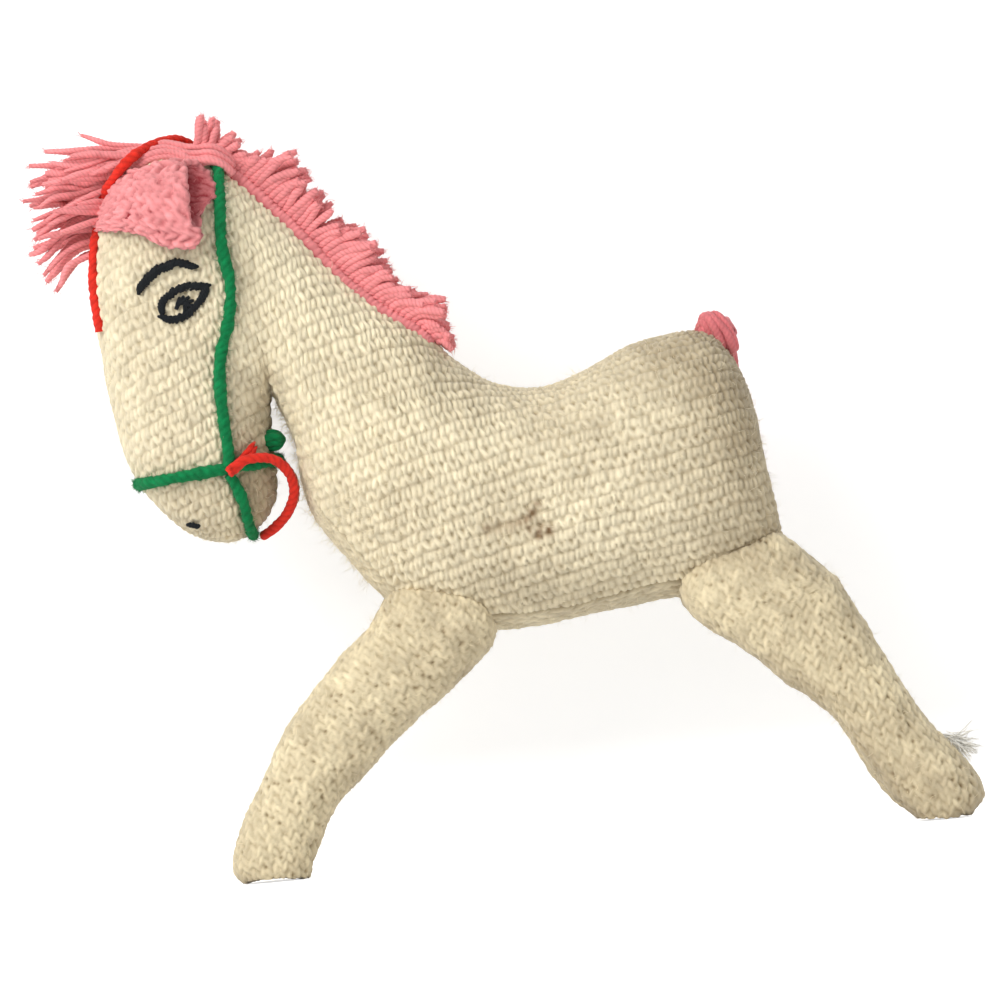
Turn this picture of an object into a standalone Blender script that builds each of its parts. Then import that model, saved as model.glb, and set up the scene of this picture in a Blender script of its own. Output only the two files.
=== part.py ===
# Crocheted plush horse standing on four splayed legs, facing -X, with its left side at -Y.
# Lengths are in metres. The floor is z = 0 and the middle of the toy is the origin.
# Each stuffed form is a fabric skin round its own stuffing. The skins of the trunk and neck are cut
# from two side panels and an underside gusset, and those of the head from two cheek panels.
# Legs and head end in round knuckles, turned about their hinge axes and seated in matching pockets.

import math

import bmesh
import bpy
from mathutils import Matrix, Vector

# Fabric and clearances
fabric_wall = 0.004
seam_gap = 0.0003
stuffing_gap = 0.0006
joint_gap = 0.0009

# Trunk
chest_x = -0.0535
belly_height = 0.0965
trunk_length = 0.1705
trunk_depth = 0.1165
trunk_width = 0.080

# Neck
neck_length = 0.060
neck_height = 0.060
neck_width = 0.056

# Head
cheek_radius = 0.060
head_drop = 0.1075
head_width = 0.062

# Legs
leg_thickness = 0.034
leg_spacing = 0.040
foot_splay = 0.004
fore_knuckle_radius = 0.0215
fore_length = 0.078
hind_knuckle_radius = 0.026
hind_length = 0.070
leg_swing = 15.0

# Ears
ear_length = 0.0435
ear_height = 0.039
ear_bulge = 0.013
ear_wall = 0.003
ear_standoff = 0.0014

# Mane, forelock and tail
mane_length = 0.0225
mane_thickness = 0.015
forelock_length = 0.050
forelock_thickness = 0.026
tuft_edge = 0.004
tail_radius = 0.0055
tail_standoff = 0.0001

# Bridle cords
green_radius = 0.0026
red_radius = 0.0020
knot_radius = 0.0030
green_standoff = 0.0013
red_standoff = 0.0005

# Frayed yarn at the left hind fetlock
fray_length = 0.015
fray_radius = 0.0035

# Ribs of trunk and neck: top x and z, bottom x and z, then half width, from the rump to the poll.
# Trunk ribs are shares of its length, depth and half width, measured from chest and belly.
trunk_rib_shares = (
    (0.953, 0.648, 0.971, 0.391, 0.0),
    (0.944, 0.751, 0.988, 0.296, 0.42),
    (0.924, 0.854, 0.991, 0.219, 0.66),
    (0.891, 0.944, 0.953, 0.142, 0.84),
    (0.848, 0.991, 0.877, 0.086, 0.95),
    (0.771, 0.993, 0.783, 0.060, 1.0),
    (0.668, 0.967, 0.677, 0.052, 1.0),
    (0.548, 0.897, 0.548, 0.028, 1.0),
    (0.438, 0.850, 0.431, 0.006, 0.99),
    (0.326, 0.880, 0.314, 0.0, 0.98),
    (0.228, 0.984, 0.185, 0.013, 0.97),
    (0.173, 1.080, 0.073, 0.056, 0.93),
    (0.115, 1.144, -0.009, 0.185, 0.88),
)
# Neck ribs are shares of its length, height and half width, measured from the withers.
neck_rib_shares = (
    (-0.157, 0.127, -0.552, -1.588, 1.14),
    (-0.352, 0.320, -0.730, -1.338, 1.06),
    (-0.502, 0.503, -0.810, -1.080, 1.02),
    (-0.610, 0.645, -0.835, -0.813, 1.0),
    (-0.835, 0.903, -0.927, -0.505, 0.98),
)
# The gusset's half angle round the section, at ribs counted from the rump
gusset_start_share = 1.0
gusset_full_share = 3.5
gusset_angle = math.radians(30)
gusset_tip_share = 0.06
body_section_power = 2.3
gusset_steps = 4
panel_steps = 10
# Places and turns kept between a seam and where the skin's direction is read
probe_place = 0.15
probe_turn = math.radians(6)

# Head: the nod axis from the withers, in shares of neck length and height
nod_axis_shares = (-1.568, 0.337)
# Inner line of the head from the nod axis to the muzzle: x in cheek radii, z in head drops, half width
head_line_shares = ((0.0, 0.0, 1.0), (0.02, -0.23, 0.96), (0.04, -0.46, 0.84), (0.08, -0.70, 0.68))
# Profile from forehead down the face, round the muzzle and up the jaw: x, z and place on the inner line,
# z in cheek radii above the nod axis and in head drops below it
face_shares = (
    (-0.227, 0.907, 0),
    (-0.458, 0.667, 0),
    (-0.555, 0.349, 0),
    (-0.580, 0.0, 0),
    (-0.555, -0.223, 1),
    (-0.520, -0.428, 2),
    (-0.433, -0.642, 3),
    (-0.292, -0.800, 3),
    (-0.158, -0.902, 3),
    (-0.018, -0.967, 3),
    (0.150, -0.999, 3),
    (0.293, -0.995, 3),
    (0.417, -0.969, 3),
    (0.525, -0.898, 3),
    (0.597, -0.791, 3),
    (0.608, -0.670, 3),
    (0.600, -0.558, 2),
    (0.573, -0.498, 1),
)
# Round back of the head, as angles from straight up towards the rump
cheek_first_angle = -5.0
cheek_last_angle = 146.0
cheek_steps = 12
head_power = 3.0
head_ring_shares = (0.0, 0.5, 0.78, 0.93, 1.0)
stuffing_ring_shares = (0.0, 0.62, 0.9, 1.0)

# Legs: hinge from the chest and belly in shares of trunk length and depth, then ribs from hip to sole,
# front x and z, back x and z, in shares of the leg's reach and of the hinge's height
fore_hinge_shares = (0.132, 0.009)
hind_hinge_shares = (0.930, 0.030)
fore_rib_shares = (
    (-0.372, 0.031, 0.051, -0.239, 1.0),
    (-0.541, -0.085, -0.141, -0.349, 1.0),
    (-0.705, -0.215, -0.314, -0.464, 0.99),
    (-0.872, -0.374, -0.474, -0.587, 0.97),
    (-1.009, -0.569, -0.641, -0.715, 0.94),
    (-1.141, -0.733, -0.731, -0.841, 0.94),
    (-1.212, -0.918, -0.779, -0.926, 0.93),
    (-1.128, -1.0, -0.840, -1.0, 0.72),
)
hind_rib_shares = (
    (-0.121, -0.214, 0.486, 0.020, 1.0),
    (0.071, -0.340, 0.614, -0.170, 0.99),
    (0.229, -0.440, 0.693, -0.305, 0.95),
    (0.393, -0.565, 0.814, -0.465, 0.92),
    (0.500, -0.700, 0.957, -0.615, 0.94),
    (0.650, -0.875, 1.129, -0.780, 0.96),
    (0.786, -0.985, 1.214, -0.910, 0.92),
    (0.836, -1.0, 1.086, -1.0, 0.68),
)
leg_section_power = 2.6
knuckle_step_shares = (-0.8, -0.5, -0.2)
leg_sides = 16
relief_ribs = 4
leg_end_share = 0.5
stuffing_crown_share = -0.97
stuffing_shy_share = 0.2

# Ear: places from the nod axis in shares of ear length and ear height
ear_mouth_share = 0.28
ear_centre_shares = (0.987, 0.90)
ear_station_shares = ((0.0, 1.0), (0.3, 0.86), (0.6, 0.60), (0.85, 0.31), (1.0, 0.10))
ear_hollow_shares = ((0.0, 1.0), (0.35, 0.72), (0.68, 0.16))
ear_side_steps = 8

# Mane: place along the crest, lean from straight up in degrees, length in mane lengths
mane_lock_shares = (
    (0.0, -12, 0.95),
    (0.12, 42, 0.80),
    (0.23, 56, 0.74),
    (0.34, 67, 0.68),
    (0.44, 78, 0.66),
    (0.56, 62, 0.80),
    (0.67, 50, 0.94),
    (0.77, 62, 0.78),
    (0.885, 88, 1.0),
    (1.0, 106, 0.40),
)
mane_stations = 21
mane_first_angle = 34.0
mane_last_rib_share = 10.6
lock_valley_share = 0.66
# Forelock: place along the forehead, lean in degrees, length in forelock lengths
forelock_lock_shares = (
    (0.0, -80, 0.98),
    (0.25, -88, 0.78),
    (0.55, -93, 0.65),
    (0.82, -114, 0.66),
    (1.0, -118, 0.46),
)
forelock_stations = 13

# Tail: turn down the right side of one rib in degrees, and girth
tail_rib_share = 3.35
tail_route_shares = (
    (0, 0.80),
    (12, 0.95),
    (26, 1.0),
    (42, 1.0),
    (58, 1.0),
    (74, 1.0),
    (88, 0.95),
    (101, 0.45),
)
tail_sides = 8

# Cord routes on the head: x in cheek radii from the nod axis, z as in its profile
cheek_strap_shares = (
    (0.375, 0.511),
    (0.365, 0.331),
    (0.373, 0.197),
    (0.398, 0.005),
    (0.370, -0.126),
    (0.300, -0.250),
    (0.262, -0.395),
    (0.262, -0.500),
    (0.280, -0.610),
)
poll_crossing_angle = 23.0
poll_crossing_steps = (0.0, 14.0, 28.0, 42.0)
noseband_shares = (-0.355, -0.745, 0.605, -0.645)
noseband_points = 20
mouth_strap_top_shares = (0.303, -0.707)
mouth_strap_edge_shares = (0.417, -0.969)
mouth_crossing_steps = (0.0, 16.0, 32.0, 50.0)
face_strap_angles = (16.0, 9.0, 2.0)
face_strap_last = 4
rein_route_shares = (
    (0.400, -0.7135, 0.80),
    (0.500, -0.702, 0.84),
    (0.620, -0.718, 0.80),
    (0.700, -0.757, 0.72),
    (0.732, -0.815, 0.60),
    (0.715, -0.870, 0.45),
    (0.665, -0.920, 0.28),
    (0.600, -0.970, 0.12),
    (0.560, -0.990, 0.0),
)
knot_shares = (0.635, -0.584, 0.42)
bevel_steps = 2
spacing_in_diameters = 2.5
probe_step_share = 0.001
cord_samples_per_span = 12

# Fray: the hind leg rib it grows from, then length and girth
fray_rib = 5
fray_sides = 6
fray_girth_shares = ((0.0, 1.0), (0.5, 0.8), (1.0, 0.3))

sharp_angle = math.radians(40)

# Turned cutters
turn_steps = 40
turn_rings = 14

fur_cream = (0.80, 0.72, 0.52)
stuffing_white = (0.90, 0.89, 0.86)
pink = (0.83, 0.32, 0.33)
green = (0.02, 0.22, 0.07)
red = (0.62, 0.05, 0.05)
white_yarn = (0.86, 0.84, 0.78)


def clear_scene():
    for thing in list(bpy.data.objects):
        bpy.data.objects.remove(thing, do_unlink=True)


def material(name, colour, roughness=0.95):
    made = bpy.data.materials.new(name)
    made.use_nodes = True
    shader = made.node_tree.nodes["Principled BSDF"]
    shader.inputs["Base Color"].default_value = (*colour, 1.0)
    shader.inputs["Roughness"].default_value = roughness
    shader.inputs["Metallic"].default_value = 0.0
    return made


def link(name, data, colour, origin=Vector((0, 0, 0))):
    """An object whose own origin is at the given point, with its shape left where it is."""
    made = bpy.data.objects.new(name, data)
    bpy.context.scene.collection.objects.link(made)
    data.materials.append(material(name + "_material", colour))
    if isinstance(data, bpy.types.Mesh):
        data.transform(Matrix.Translation(-origin))
    made.location = origin
    return made


def mesh_from(name, points, faces):
    """A closed mesh from points and faces, with doubled points joined and faces turned out."""
    data = bpy.data.meshes.new(name)
    work = bmesh.new()
    corners = [work.verts.new(p) for p in points]
    for face in faces:
        work.faces.new([corners[i] for i in face])
    merge = seam_gap * probe_step_share
    bmesh.ops.remove_doubles(work, verts=work.verts, dist=merge)
    bmesh.ops.dissolve_degenerate(work, edges=work.edges, dist=merge)
    bmesh.ops.triangulate(work, faces=work.faces)
    bmesh.ops.recalc_face_normals(work, faces=work.faces)
    work.to_mesh(data)
    work.free()
    data.shade_smooth()
    data.set_sharp_from_angle(angle=sharp_angle)
    return data


def spline(rows, t):
    """The rows of a table read at a fractional place t, on a smooth curve through them."""
    i = min(max(int(t), 0), len(rows) - 2)
    f = t - i
    before = rows[max(i - 1, 0)]
    after = rows[min(i + 2, len(rows) - 1)]
    found = []
    for a, b, c, d in zip(before, rows[i], rows[i + 1], after):
        slope_b = (c - a) / 2
        slope_c = (d - b) / 2
        found.append(
            b * (1 - f) ** 2 * (1 + 2 * f)
            + slope_b * f * (1 - f) ** 2
            + c * f**2 * (3 - 2 * f)
            - slope_c * f**2 * (1 - f)
        )
    return found


def signed_power(value, power):
    return math.copysign(abs(value) ** power, value)


def grid_faces(first, rows, columns, wrap):
    """Quads of a grid of points, numbered from first, row by row."""
    spans = columns if wrap else columns - 1
    return [
        (
            first + r * columns + c,
            first + r * columns + (c + 1) % columns,
            first + (r + 1) * columns + (c + 1) % columns,
            first + (r + 1) * columns + c,
        )
        for r in range(rows - 1)
        for c in range(spans)
    ]


def shell_strip(name, outer, inner):
    """A sheet between two matching grids of points, closed along all four edges."""
    rows, columns = len(outer), len(outer[0])
    points = [p for ring in outer for p in ring] + [p for ring in inner for p in ring]
    shift = rows * columns
    faces = grid_faces(0, rows, columns, False)
    faces += [tuple(reversed(f)) for f in grid_faces(shift, rows, columns, False)]
    for c in range(columns - 1):
        for base in (0, (rows - 1) * columns):
            faces.append((base + c, base + c + 1, shift + base + c + 1, shift + base + c))
    for r in range(rows - 1):
        for base in (0, columns - 1):
            low = r * columns + base
            high = low + columns
            faces.append((low, high, shift + high, shift + low))
    return mesh_from(name, points, faces)


def closed_loft(name, rings, first_flat=False):
    """A solid through whole rings, with a flat cap at each end that isn't already pressed to a line."""
    rows, columns = len(rings), len(rings[0])
    points = [p for ring in rings for p in ring]
    faces = grid_faces(0, rows, columns, True)
    if not first_flat:
        faces.append(tuple(range(columns)))
    faces.append(tuple(range((rows - 1) * columns, rows * columns)))
    return mesh_from(name, points, faces)


def cup_loft(name, outer, inner):
    """A pocket open at its first rings and closed at its last, outside and inside."""
    columns = len(outer[0])
    points = [p for ring in outer for p in ring] + [p for ring in inner for p in ring]
    shift = len(outer) * columns
    faces = grid_faces(0, len(outer), columns, True)
    faces += grid_faces(shift, len(inner), columns, True)
    faces.append(tuple(range(shift - columns, shift)))
    faces.append(tuple(range(len(points) - columns, len(points))))
    for c in range(columns):
        d = (c + 1) % columns
        faces.append((c, d, shift + d, shift + c))
    return mesh_from(name, points, faces)


def turned(name, centre, radius, half_width, power, grow):
    """A hidden cutter: a round-edged wheel about the Y axis, grown by a clearance all over."""
    fit = 1 / math.cos(math.pi / turn_steps)
    reach = (radius + grow) * fit
    wide = (half_width + grow) * fit
    rings = []
    for r in range(1, turn_rings):
        side = -math.cos(math.pi * r / turn_rings)
        y = wide * signed_power(side, 2 / power)
        ring_radius = reach * (1 - (abs(y) / wide) ** power) ** (1 / power)
        ring = []
        for s in range(turn_steps):
            turn = 2 * math.pi * s / turn_steps
            place = (ring_radius * math.cos(turn), y, ring_radius * math.sin(turn))
            ring.append(centre + Vector(place))
        rings.append(ring)
    return hidden(name, closed_loft(name, rings))


def hidden(name, data):
    made = bpy.data.objects.new(name, data)
    bpy.context.scene.collection.objects.link(made)
    made.hide_render = True
    made.display_type = "WIRE"
    return made


def cut(target, cutters):
    for cutter in cutters:
        step = target.modifiers.new(cutter.name, "BOOLEAN")
        step.operation = "DIFFERENCE"
        step.solver = "EXACT"
        step.object = cutter


# Trunk and neck


def body_ribs():
    withers = trunk_point(trunk_rib_shares[-1][0], trunk_rib_shares[-1][1])
    rows = []
    for top_x, top_z, low_x, low_z, width in trunk_rib_shares:
        top = trunk_point(top_x, top_z)
        low = trunk_point(low_x, low_z)
        rows.append((top.x, top.z, low.x, low.z, width * trunk_width / 2))
    for top_x, top_z, low_x, low_z, width in neck_rib_shares:
        row = (
            withers.x + top_x * neck_length,
            withers.z + top_z * neck_height,
            withers.x + low_x * neck_length,
            withers.z + low_z * neck_height,
            width * neck_width / 2,
        )
        rows.append(row)
    return rows


def trunk_point(x_share, z_share, y_share=0.0):
    return Vector(
        (
            chest_x + x_share * trunk_length,
            y_share * trunk_width / 2,
            belly_height + z_share * trunk_depth,
        )
    )


def body_point(t, angle):
    """A point of the trunk or neck: t counts ribs, the angle goes from the top down the left side."""
    top_x, top_z, low_x, low_z, half_width = spline(body_ribs(), t)
    top = Vector((top_x, 0, top_z))
    low = Vector((low_x, 0, low_z))
    power = 2 / body_section_power
    point = (top + low) / 2 + (top - low) / 2 * signed_power(math.cos(angle), power)
    point.y = -max(half_width, 0.0) * signed_power(math.sin(angle), power)
    return point


def rib_normal(t):
    """The direction square to a rib, towards the rump."""
    top_x, top_z, low_x, low_z, _ = spline(body_ribs(), t)
    return Vector((top_z - low_z, 0, low_x - top_x)).normalized()


def body_normal(t, angle):
    """The outward direction of the skin, read a little off the seams."""
    folded = min(angle, 2 * math.pi - angle)
    near = min(max(folded, probe_turn), math.pi - probe_turn)
    place = max(t, probe_place)
    along = body_point(place + probe_place, near) - body_point(place - probe_place, near)
    turning = body_point(place, near + probe_turn) - body_point(place, near - probe_turn)
    out = along.cross(turning)
    out.y *= min(folded / probe_turn, (math.pi - folded) / probe_turn, t / probe_place, 1.0)
    if angle > math.pi:
        out.y = -out.y
    return out.normalized()


def sunk_point(t, angle, depth, is_end, shift):
    """A point below the skin, kept in the plane of its rib where the form ends."""
    move = body_normal(t, angle) * -depth
    if is_end:
        square = rib_normal(t)
        move += square * (shift - move.dot(square))
    return body_point(t, angle) + move


def gusset_edge(t):
    """Half angle of the underside gusset, which runs to a point under the rump."""
    grown = (t - gusset_start_share) / (gusset_full_share - gusset_start_share)
    return gusset_angle * min(max(grown, gusset_tip_share), 1.0)


def seam_angle(t, angle, sign):
    """The angle moved by half the seam gap, measured round the section."""
    speed = (body_point(t, angle + probe_turn) - body_point(t, angle)).length / probe_turn
    return angle + sign * seam_gap / 2 / speed


def panel_ring(t, depth, is_end, shift, left):
    end = math.pi
    if t >= gusset_start_share:
        end = seam_angle(t, math.pi - gusset_edge(t), -1)
    ring = []
    for k in range(panel_steps + 1):
        point = sunk_point(t, end * k / panel_steps, depth, is_end, shift)
        point.y = min(point.y, -seam_gap / 2)
        if not left:
            point.y = -point.y
        ring.append(point)
    return ring


def gusset_ring(t, depth, is_end, shift):
    start = seam_angle(t, math.pi - gusset_edge(t), 1)
    end = 2 * math.pi - start
    turns = [start + (end - start) * k / gusset_steps for k in range(gusset_steps + 1)]
    return [sunk_point(t, turn, depth, is_end, shift) for turn in turns]


def make_body():
    split = len(trunk_rib_shares) - 1
    last = split + len(neck_rib_shares)
    trunk_places = list(range(split + 1))
    neck_places = list(range(split, last + 1))
    gusset_places = [p for p in trunk_places if p >= gusset_start_share]
    forms = (("trunk", trunk_places, gusset_places, 1), ("neck", neck_places, neck_places, -1))
    made = {}
    for form, places, strip_places, toward in forms:
        shift = toward * seam_gap / 2
        for side, left in (("left", True), ("right", False)):
            outer = [panel_ring(p, 0.0, p == split, shift, left) for p in places]
            inner = [panel_ring(p, fabric_wall, p == split, shift, left) for p in places]
            name = f"{form}_panel_{side}"
            made[name] = link(name, shell_strip(name, outer, inner), fur_cream)
        outer = [gusset_ring(p, 0.0, p == split, shift) for p in strip_places]
        inner = [gusset_ring(p, fabric_wall, p == split, shift) for p in strip_places]
        name = f"{form}_gusset"
        made[name] = link(name, shell_strip(name, outer, inner), fur_cream)
        deep = fabric_wall + stuffing_gap
        turns = [2 * math.pi * k / (2 * panel_steps) for k in range(2 * panel_steps)]
        rings = [[sunk_point(p, a, deep, p == split, shift) for a in turns] for p in places]
        name = f"{form}_stuffing"
        made[name] = link(name, closed_loft(name, rings, form == "trunk"), stuffing_white)
    return made


# Head


def withers_point():
    return trunk_point(trunk_rib_shares[-1][0], trunk_rib_shares[-1][1])


def nod_axis():
    return withers_point() + Vector((nod_axis_shares[0] * neck_length, 0, nod_axis_shares[1] * neck_height))


def head_place(x_share, z_share):
    rise = cheek_radius if z_share > 0 else head_drop
    return nod_axis() + Vector((x_share * cheek_radius, 0, z_share * rise))


def round_point(degrees, radius):
    angle = math.radians(degrees)
    return nod_axis() + Vector((math.sin(angle), 0, math.cos(angle))) * radius


def head_rim():
    """The head's profile as (point, place on the inner line), down the face and up over the round back."""
    rim = [(head_place(x, z), i) for x, z, i in face_shares]
    span = cheek_last_angle - cheek_first_angle
    for k in range(cheek_steps + 1):
        degrees = cheek_last_angle - span * k / cheek_steps
        rim.append((round_point(degrees, cheek_radius), 0))
    return rim


def head_line(place):
    x, z, width = head_line_shares[place]
    return head_place(x, z), width * head_width / 2


def cheek_panel_rings(inset, left, shares):
    rings = []
    for rim_point, place in head_rim():
        centre, half_width = head_line(place)
        reach = rim_point - centre
        reach = reach.normalized() * (reach.length - inset)
        ring = []
        for share in shares:
            point = centre + reach * share
            bulge = (half_width - inset) * (1 - share**head_power) ** (1 / head_power)
            point.y = min(-bulge, -seam_gap / 2)
            if not left:
                point.y = -point.y
            ring.append(point)
        rings.append(ring)
    return rings


def cheek_panel(name, left):
    outer = cheek_panel_rings(0.0, left, head_ring_shares)
    inner = cheek_panel_rings(fabric_wall, left, head_ring_shares)
    rows, columns = len(outer), len(head_ring_shares)
    points = [p for ring in outer for p in ring] + [p for ring in inner for p in ring]
    shift = rows * columns
    faces = []
    for r in range(rows):
        s = (r + 1) % rows
        for c in range(columns - 1):
            faces.append((r * columns + c, r * columns + c + 1, s * columns + c + 1, s * columns + c))
            low, high = shift + r * columns + c, shift + s * columns + c
            faces.append((low, high, high + 1, low + 1))
        rim_a, rim_b = (r + 1) * columns - 1, (s + 1) * columns - 1
        faces.append((rim_a, rim_b, shift + rim_b, shift + rim_a))
    return mesh_from(name, points, faces)


def head_stuffing(name):
    deep = fabric_wall + stuffing_gap
    left = cheek_panel_rings(deep, True, stuffing_ring_shares)
    right = cheek_panel_rings(deep, False, stuffing_ring_shares)
    columns = len(stuffing_ring_shares)
    rings = []
    for a, b in zip(left, right):
        a[-1].y = 0.0
        rings.append(a + list(reversed(b[:-1])))
    columns = len(rings[0])
    points = [p for ring in rings for p in ring]
    faces = []
    for r in range(len(rings)):
        s = (r + 1) % len(rings)
        for c in range(columns - 1):
            faces.append((r * columns + c, r * columns + c + 1, s * columns + c + 1, s * columns + c))
    return mesh_from(name, points, faces)


def make_head():
    origin = nod_axis()
    made = {}
    for side, left in (("left", True), ("right", False)):
        name = f"cheek_panel_{side}"
        made[name] = link(name, cheek_panel(name, left), fur_cream, origin)
    made["head_stuffing"] = link("head_stuffing", head_stuffing("head_stuffing"), stuffing_white, origin)
    return made


def rim_distance(centre, toward):
    """How far the profile lies from a point of the inner line, in one direction."""
    rim = [p for p, _ in head_rim()]
    best = 0.0
    for a, b in zip(rim, rim[1:] + rim[:1]):
        edge = b - a
        across = toward.x * edge.z - toward.z * edge.x
        if across == 0:
            continue
        gap = a - centre
        along_ray = (gap.x * edge.z - gap.z * edge.x) / across
        along_edge = (gap.x * toward.z - gap.z * toward.x) / across
        if along_ray > 0 and -probe_step_share <= along_edge <= 1 + probe_step_share:
            best = max(best, along_ray)
    return best


def head_half_width(x, z):
    """Half the head's width beside a point of its profile plane."""
    heights = [head_line(i)[0].z for i in range(len(head_line_shares))]
    place = 0.0
    if z <= heights[-1]:
        place = len(heights) - 1.0
    elif z < heights[0]:
        upper = max(i for i, h in enumerate(heights) if h >= z)
        place = upper + (heights[upper] - z) / (heights[upper] - heights[upper + 1])
    i = min(int(place), len(heights) - 2)
    f = place - i
    (a, wide_a), (b, wide_b) = head_line(i), head_line(i + 1)
    centre = a.lerp(b, f)
    half_width = wide_a + (wide_b - wide_a) * f
    away = Vector((x, 0, z)) - centre
    if away.length == 0:
        return half_width
    share = min(away.length / rim_distance(centre, away.normalized()), 1.0)
    return half_width * (1 - share**head_power) ** (1 / head_power)


def over_edge(centre, edge, half_width, standoff, degrees):
    """A point above the head's skin, on the way from its side at 90 degrees over its edge at 0."""
    angle = math.radians(degrees)
    away = edge - centre
    reach = (away.length + standoff) * signed_power(math.cos(angle), 2 / head_power)
    point = centre + away.normalized() * reach
    point.y = -(half_width + standoff) * signed_power(math.sin(angle), 2 / head_power)
    return point


# Legs


def leg_sizes(front):
    if front:
        return fore_hinge_shares, fore_knuckle_radius, fore_length, fore_rib_shares
    return hind_hinge_shares, hind_knuckle_radius, hind_length, hind_rib_shares


def leg_rows(front, inset):
    """Centre, half extent as a vector, half thickness and splay of each rib, from the hinge down."""
    hinge_shares, radius, reach, ribs = leg_sizes(front)
    hinge = trunk_point(*hinge_shares)
    drop = hinge.z
    thick = leg_thickness / 2
    rows = []
    for front_x, front_z, back_x, back_z, share in ribs:
        fore = hinge + Vector((front_x * reach, 0, front_z * drop))
        back = hinge + Vector((back_x * reach, 0, back_z * drop))
        half = (fore - back) / 2
        half = half.normalized() * (half.length - inset)
        centre = (fore + back) / 2
        splay = foot_splay * (hinge.z - centre.z) / drop
        rows.append((centre.x, centre.z, half.x, half.z, thick * share - inset, splay))
    down = Vector((rows[0][0] - hinge.x, 0, rows[0][1] - hinge.z)).normalized()
    across = Vector((-down.z, 0, down.x))
    if across.dot(Vector((rows[0][2], 0, rows[0][3]))) < 0:
        across = -across
    half = across * (radius - inset)
    rows.insert(0, (hinge.x, hinge.z, half.x, half.z, thick - inset, 0.0))
    return rows, down


def knuckle_ring(hinge, down, across, radius, thick, offset, y_centre, sides):
    """A cut through the round knuckle, square to the leg."""
    power = leg_section_power
    wide = thick * (1 - (abs(offset) / radius) ** power) ** (1 / power)
    ring = []
    for k in range(sides):
        angle = 2 * math.pi * k / sides
        y = wide * signed_power(math.sin(angle), 2 / power)
        rim = radius * (1 - (abs(y) / thick) ** power) ** (1 / power)
        reach = math.sqrt(max(rim**2 - offset**2, 0.0))
        if abs(math.cos(angle)) < probe_step_share:
            reach = 0.0
        point = hinge + down * offset + across * math.copysign(reach, math.cos(angle))
        ring.append(point + Vector((0, y_centre + y, 0)))
    return ring


def leg_ring(row, y_centre, outward, sides):
    x, z, half_x, half_z, thick, splay = row
    power = 2 / leg_section_power
    ring = []
    for k in range(sides):
        angle = 2 * math.pi * k / sides
        reach = signed_power(math.cos(angle), power)
        y = y_centre + outward * splay + thick * signed_power(math.sin(angle), power)
        ring.append(Vector((x + half_x * reach, y, z + half_z * reach)))
    return ring


def leg_rings(front, left, inset, steps, sides, end_cut, shy=0.0):
    rows, down = leg_rows(front, inset)
    hinge_shares, radius, _, _ = leg_sizes(front)
    hinge = trunk_point(*hinge_shares)
    outward = -1 if left else 1
    y_centre = outward * leg_spacing / 2
    across = Vector((rows[0][2], 0, rows[0][3])).normalized()
    inner_radius = radius - inset
    thick = leg_thickness / 2 - inset
    rings = [
        knuckle_ring(hinge, down, across, inner_radius, thick, s * inner_radius, y_centre, sides)
        for s in steps
    ]
    last = len(rows) - 1
    for r in range(len(rows)):
        t = r * (last - end_cut) / last
        rings.append(leg_ring(spline(rows, t), y_centre, outward, sides))
    rings[-1] = [end.lerp(before, shy) for before, end in zip(rings[-2], rings[-1])]
    return rings


def hinge_point(front, left):
    point = trunk_point(*leg_sizes(front)[0])
    point.y = (-1 if left else 1) * leg_spacing / 2
    return point


def leg_relief(name, front, left):
    """A hidden cutter: the space that the top of a swinging leg needs."""
    rows, _ = leg_rows(front, 0.0)
    outward = -1 if left else 1
    y_centre = outward * leg_spacing / 2
    hinge = Vector((rows[0][0], 0, rows[0][1]))
    rings = []
    for x, z, half_x, half_z, thick, splay in rows[:relief_ribs]:
        half = Vector((half_x, 0, half_z))
        away = (Vector((x, 0, z)) - hinge).length
        wide = half.length + away * math.sin(math.radians(leg_swing)) + joint_gap
        half = half.normalized() * wide
        rings.append(leg_ring((x, z, half.x, half.z, thick + joint_gap, splay), y_centre, outward, leg_sides))
    return hidden(name, closed_loft(name, rings))


def make_legs():
    """Skins and stuffing of the four legs, and the cutters that seat them in the trunk."""
    cutters = {"left": [], "right": []}
    for front, pair in ((True, "foreleg"), (False, "hindleg")):
        for side, left in (("left", True), ("right", False)):
            origin = hinge_point(front, left)
            outer = leg_rings(front, left, 0.0, knuckle_step_shares, leg_sides, 0.0)
            inner = leg_rings(front, left, fabric_wall, knuckle_step_shares, leg_sides, leg_end_share)
            name = f"{pair}_{side}_skin"
            link(name, cup_loft(name, outer, inner), fur_cream, origin)
            deep = fabric_wall + stuffing_gap
            steps = (stuffing_crown_share, *knuckle_step_shares)
            sides = leg_sides // 2
            rings = leg_rings(front, left, deep, steps, sides, leg_end_share, stuffing_shy_share)
            name = f"{pair}_{side}_stuffing"
            link(name, closed_loft(name, rings), stuffing_white, origin)
            radius = leg_sizes(front)[1]
            name = f"{pair}_{side}"
            thick = leg_thickness / 2
            pocket = turned(name + "_pocket", origin, radius, thick, leg_section_power, joint_gap)
            cutters[side] += [pocket, leg_relief(name + "_relief", front, left)]
    return cutters


# Ears


def ear_root_y(x, z):
    """Distance from the middle plane to the round of the cheek below an ear."""
    away = (Vector((x, 0, z)) - nod_axis()).length
    share = min(away / cheek_radius, 1.0)
    return head_width / 2 * (1 - share**head_power) ** (1 / head_power) + ear_standoff


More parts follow.
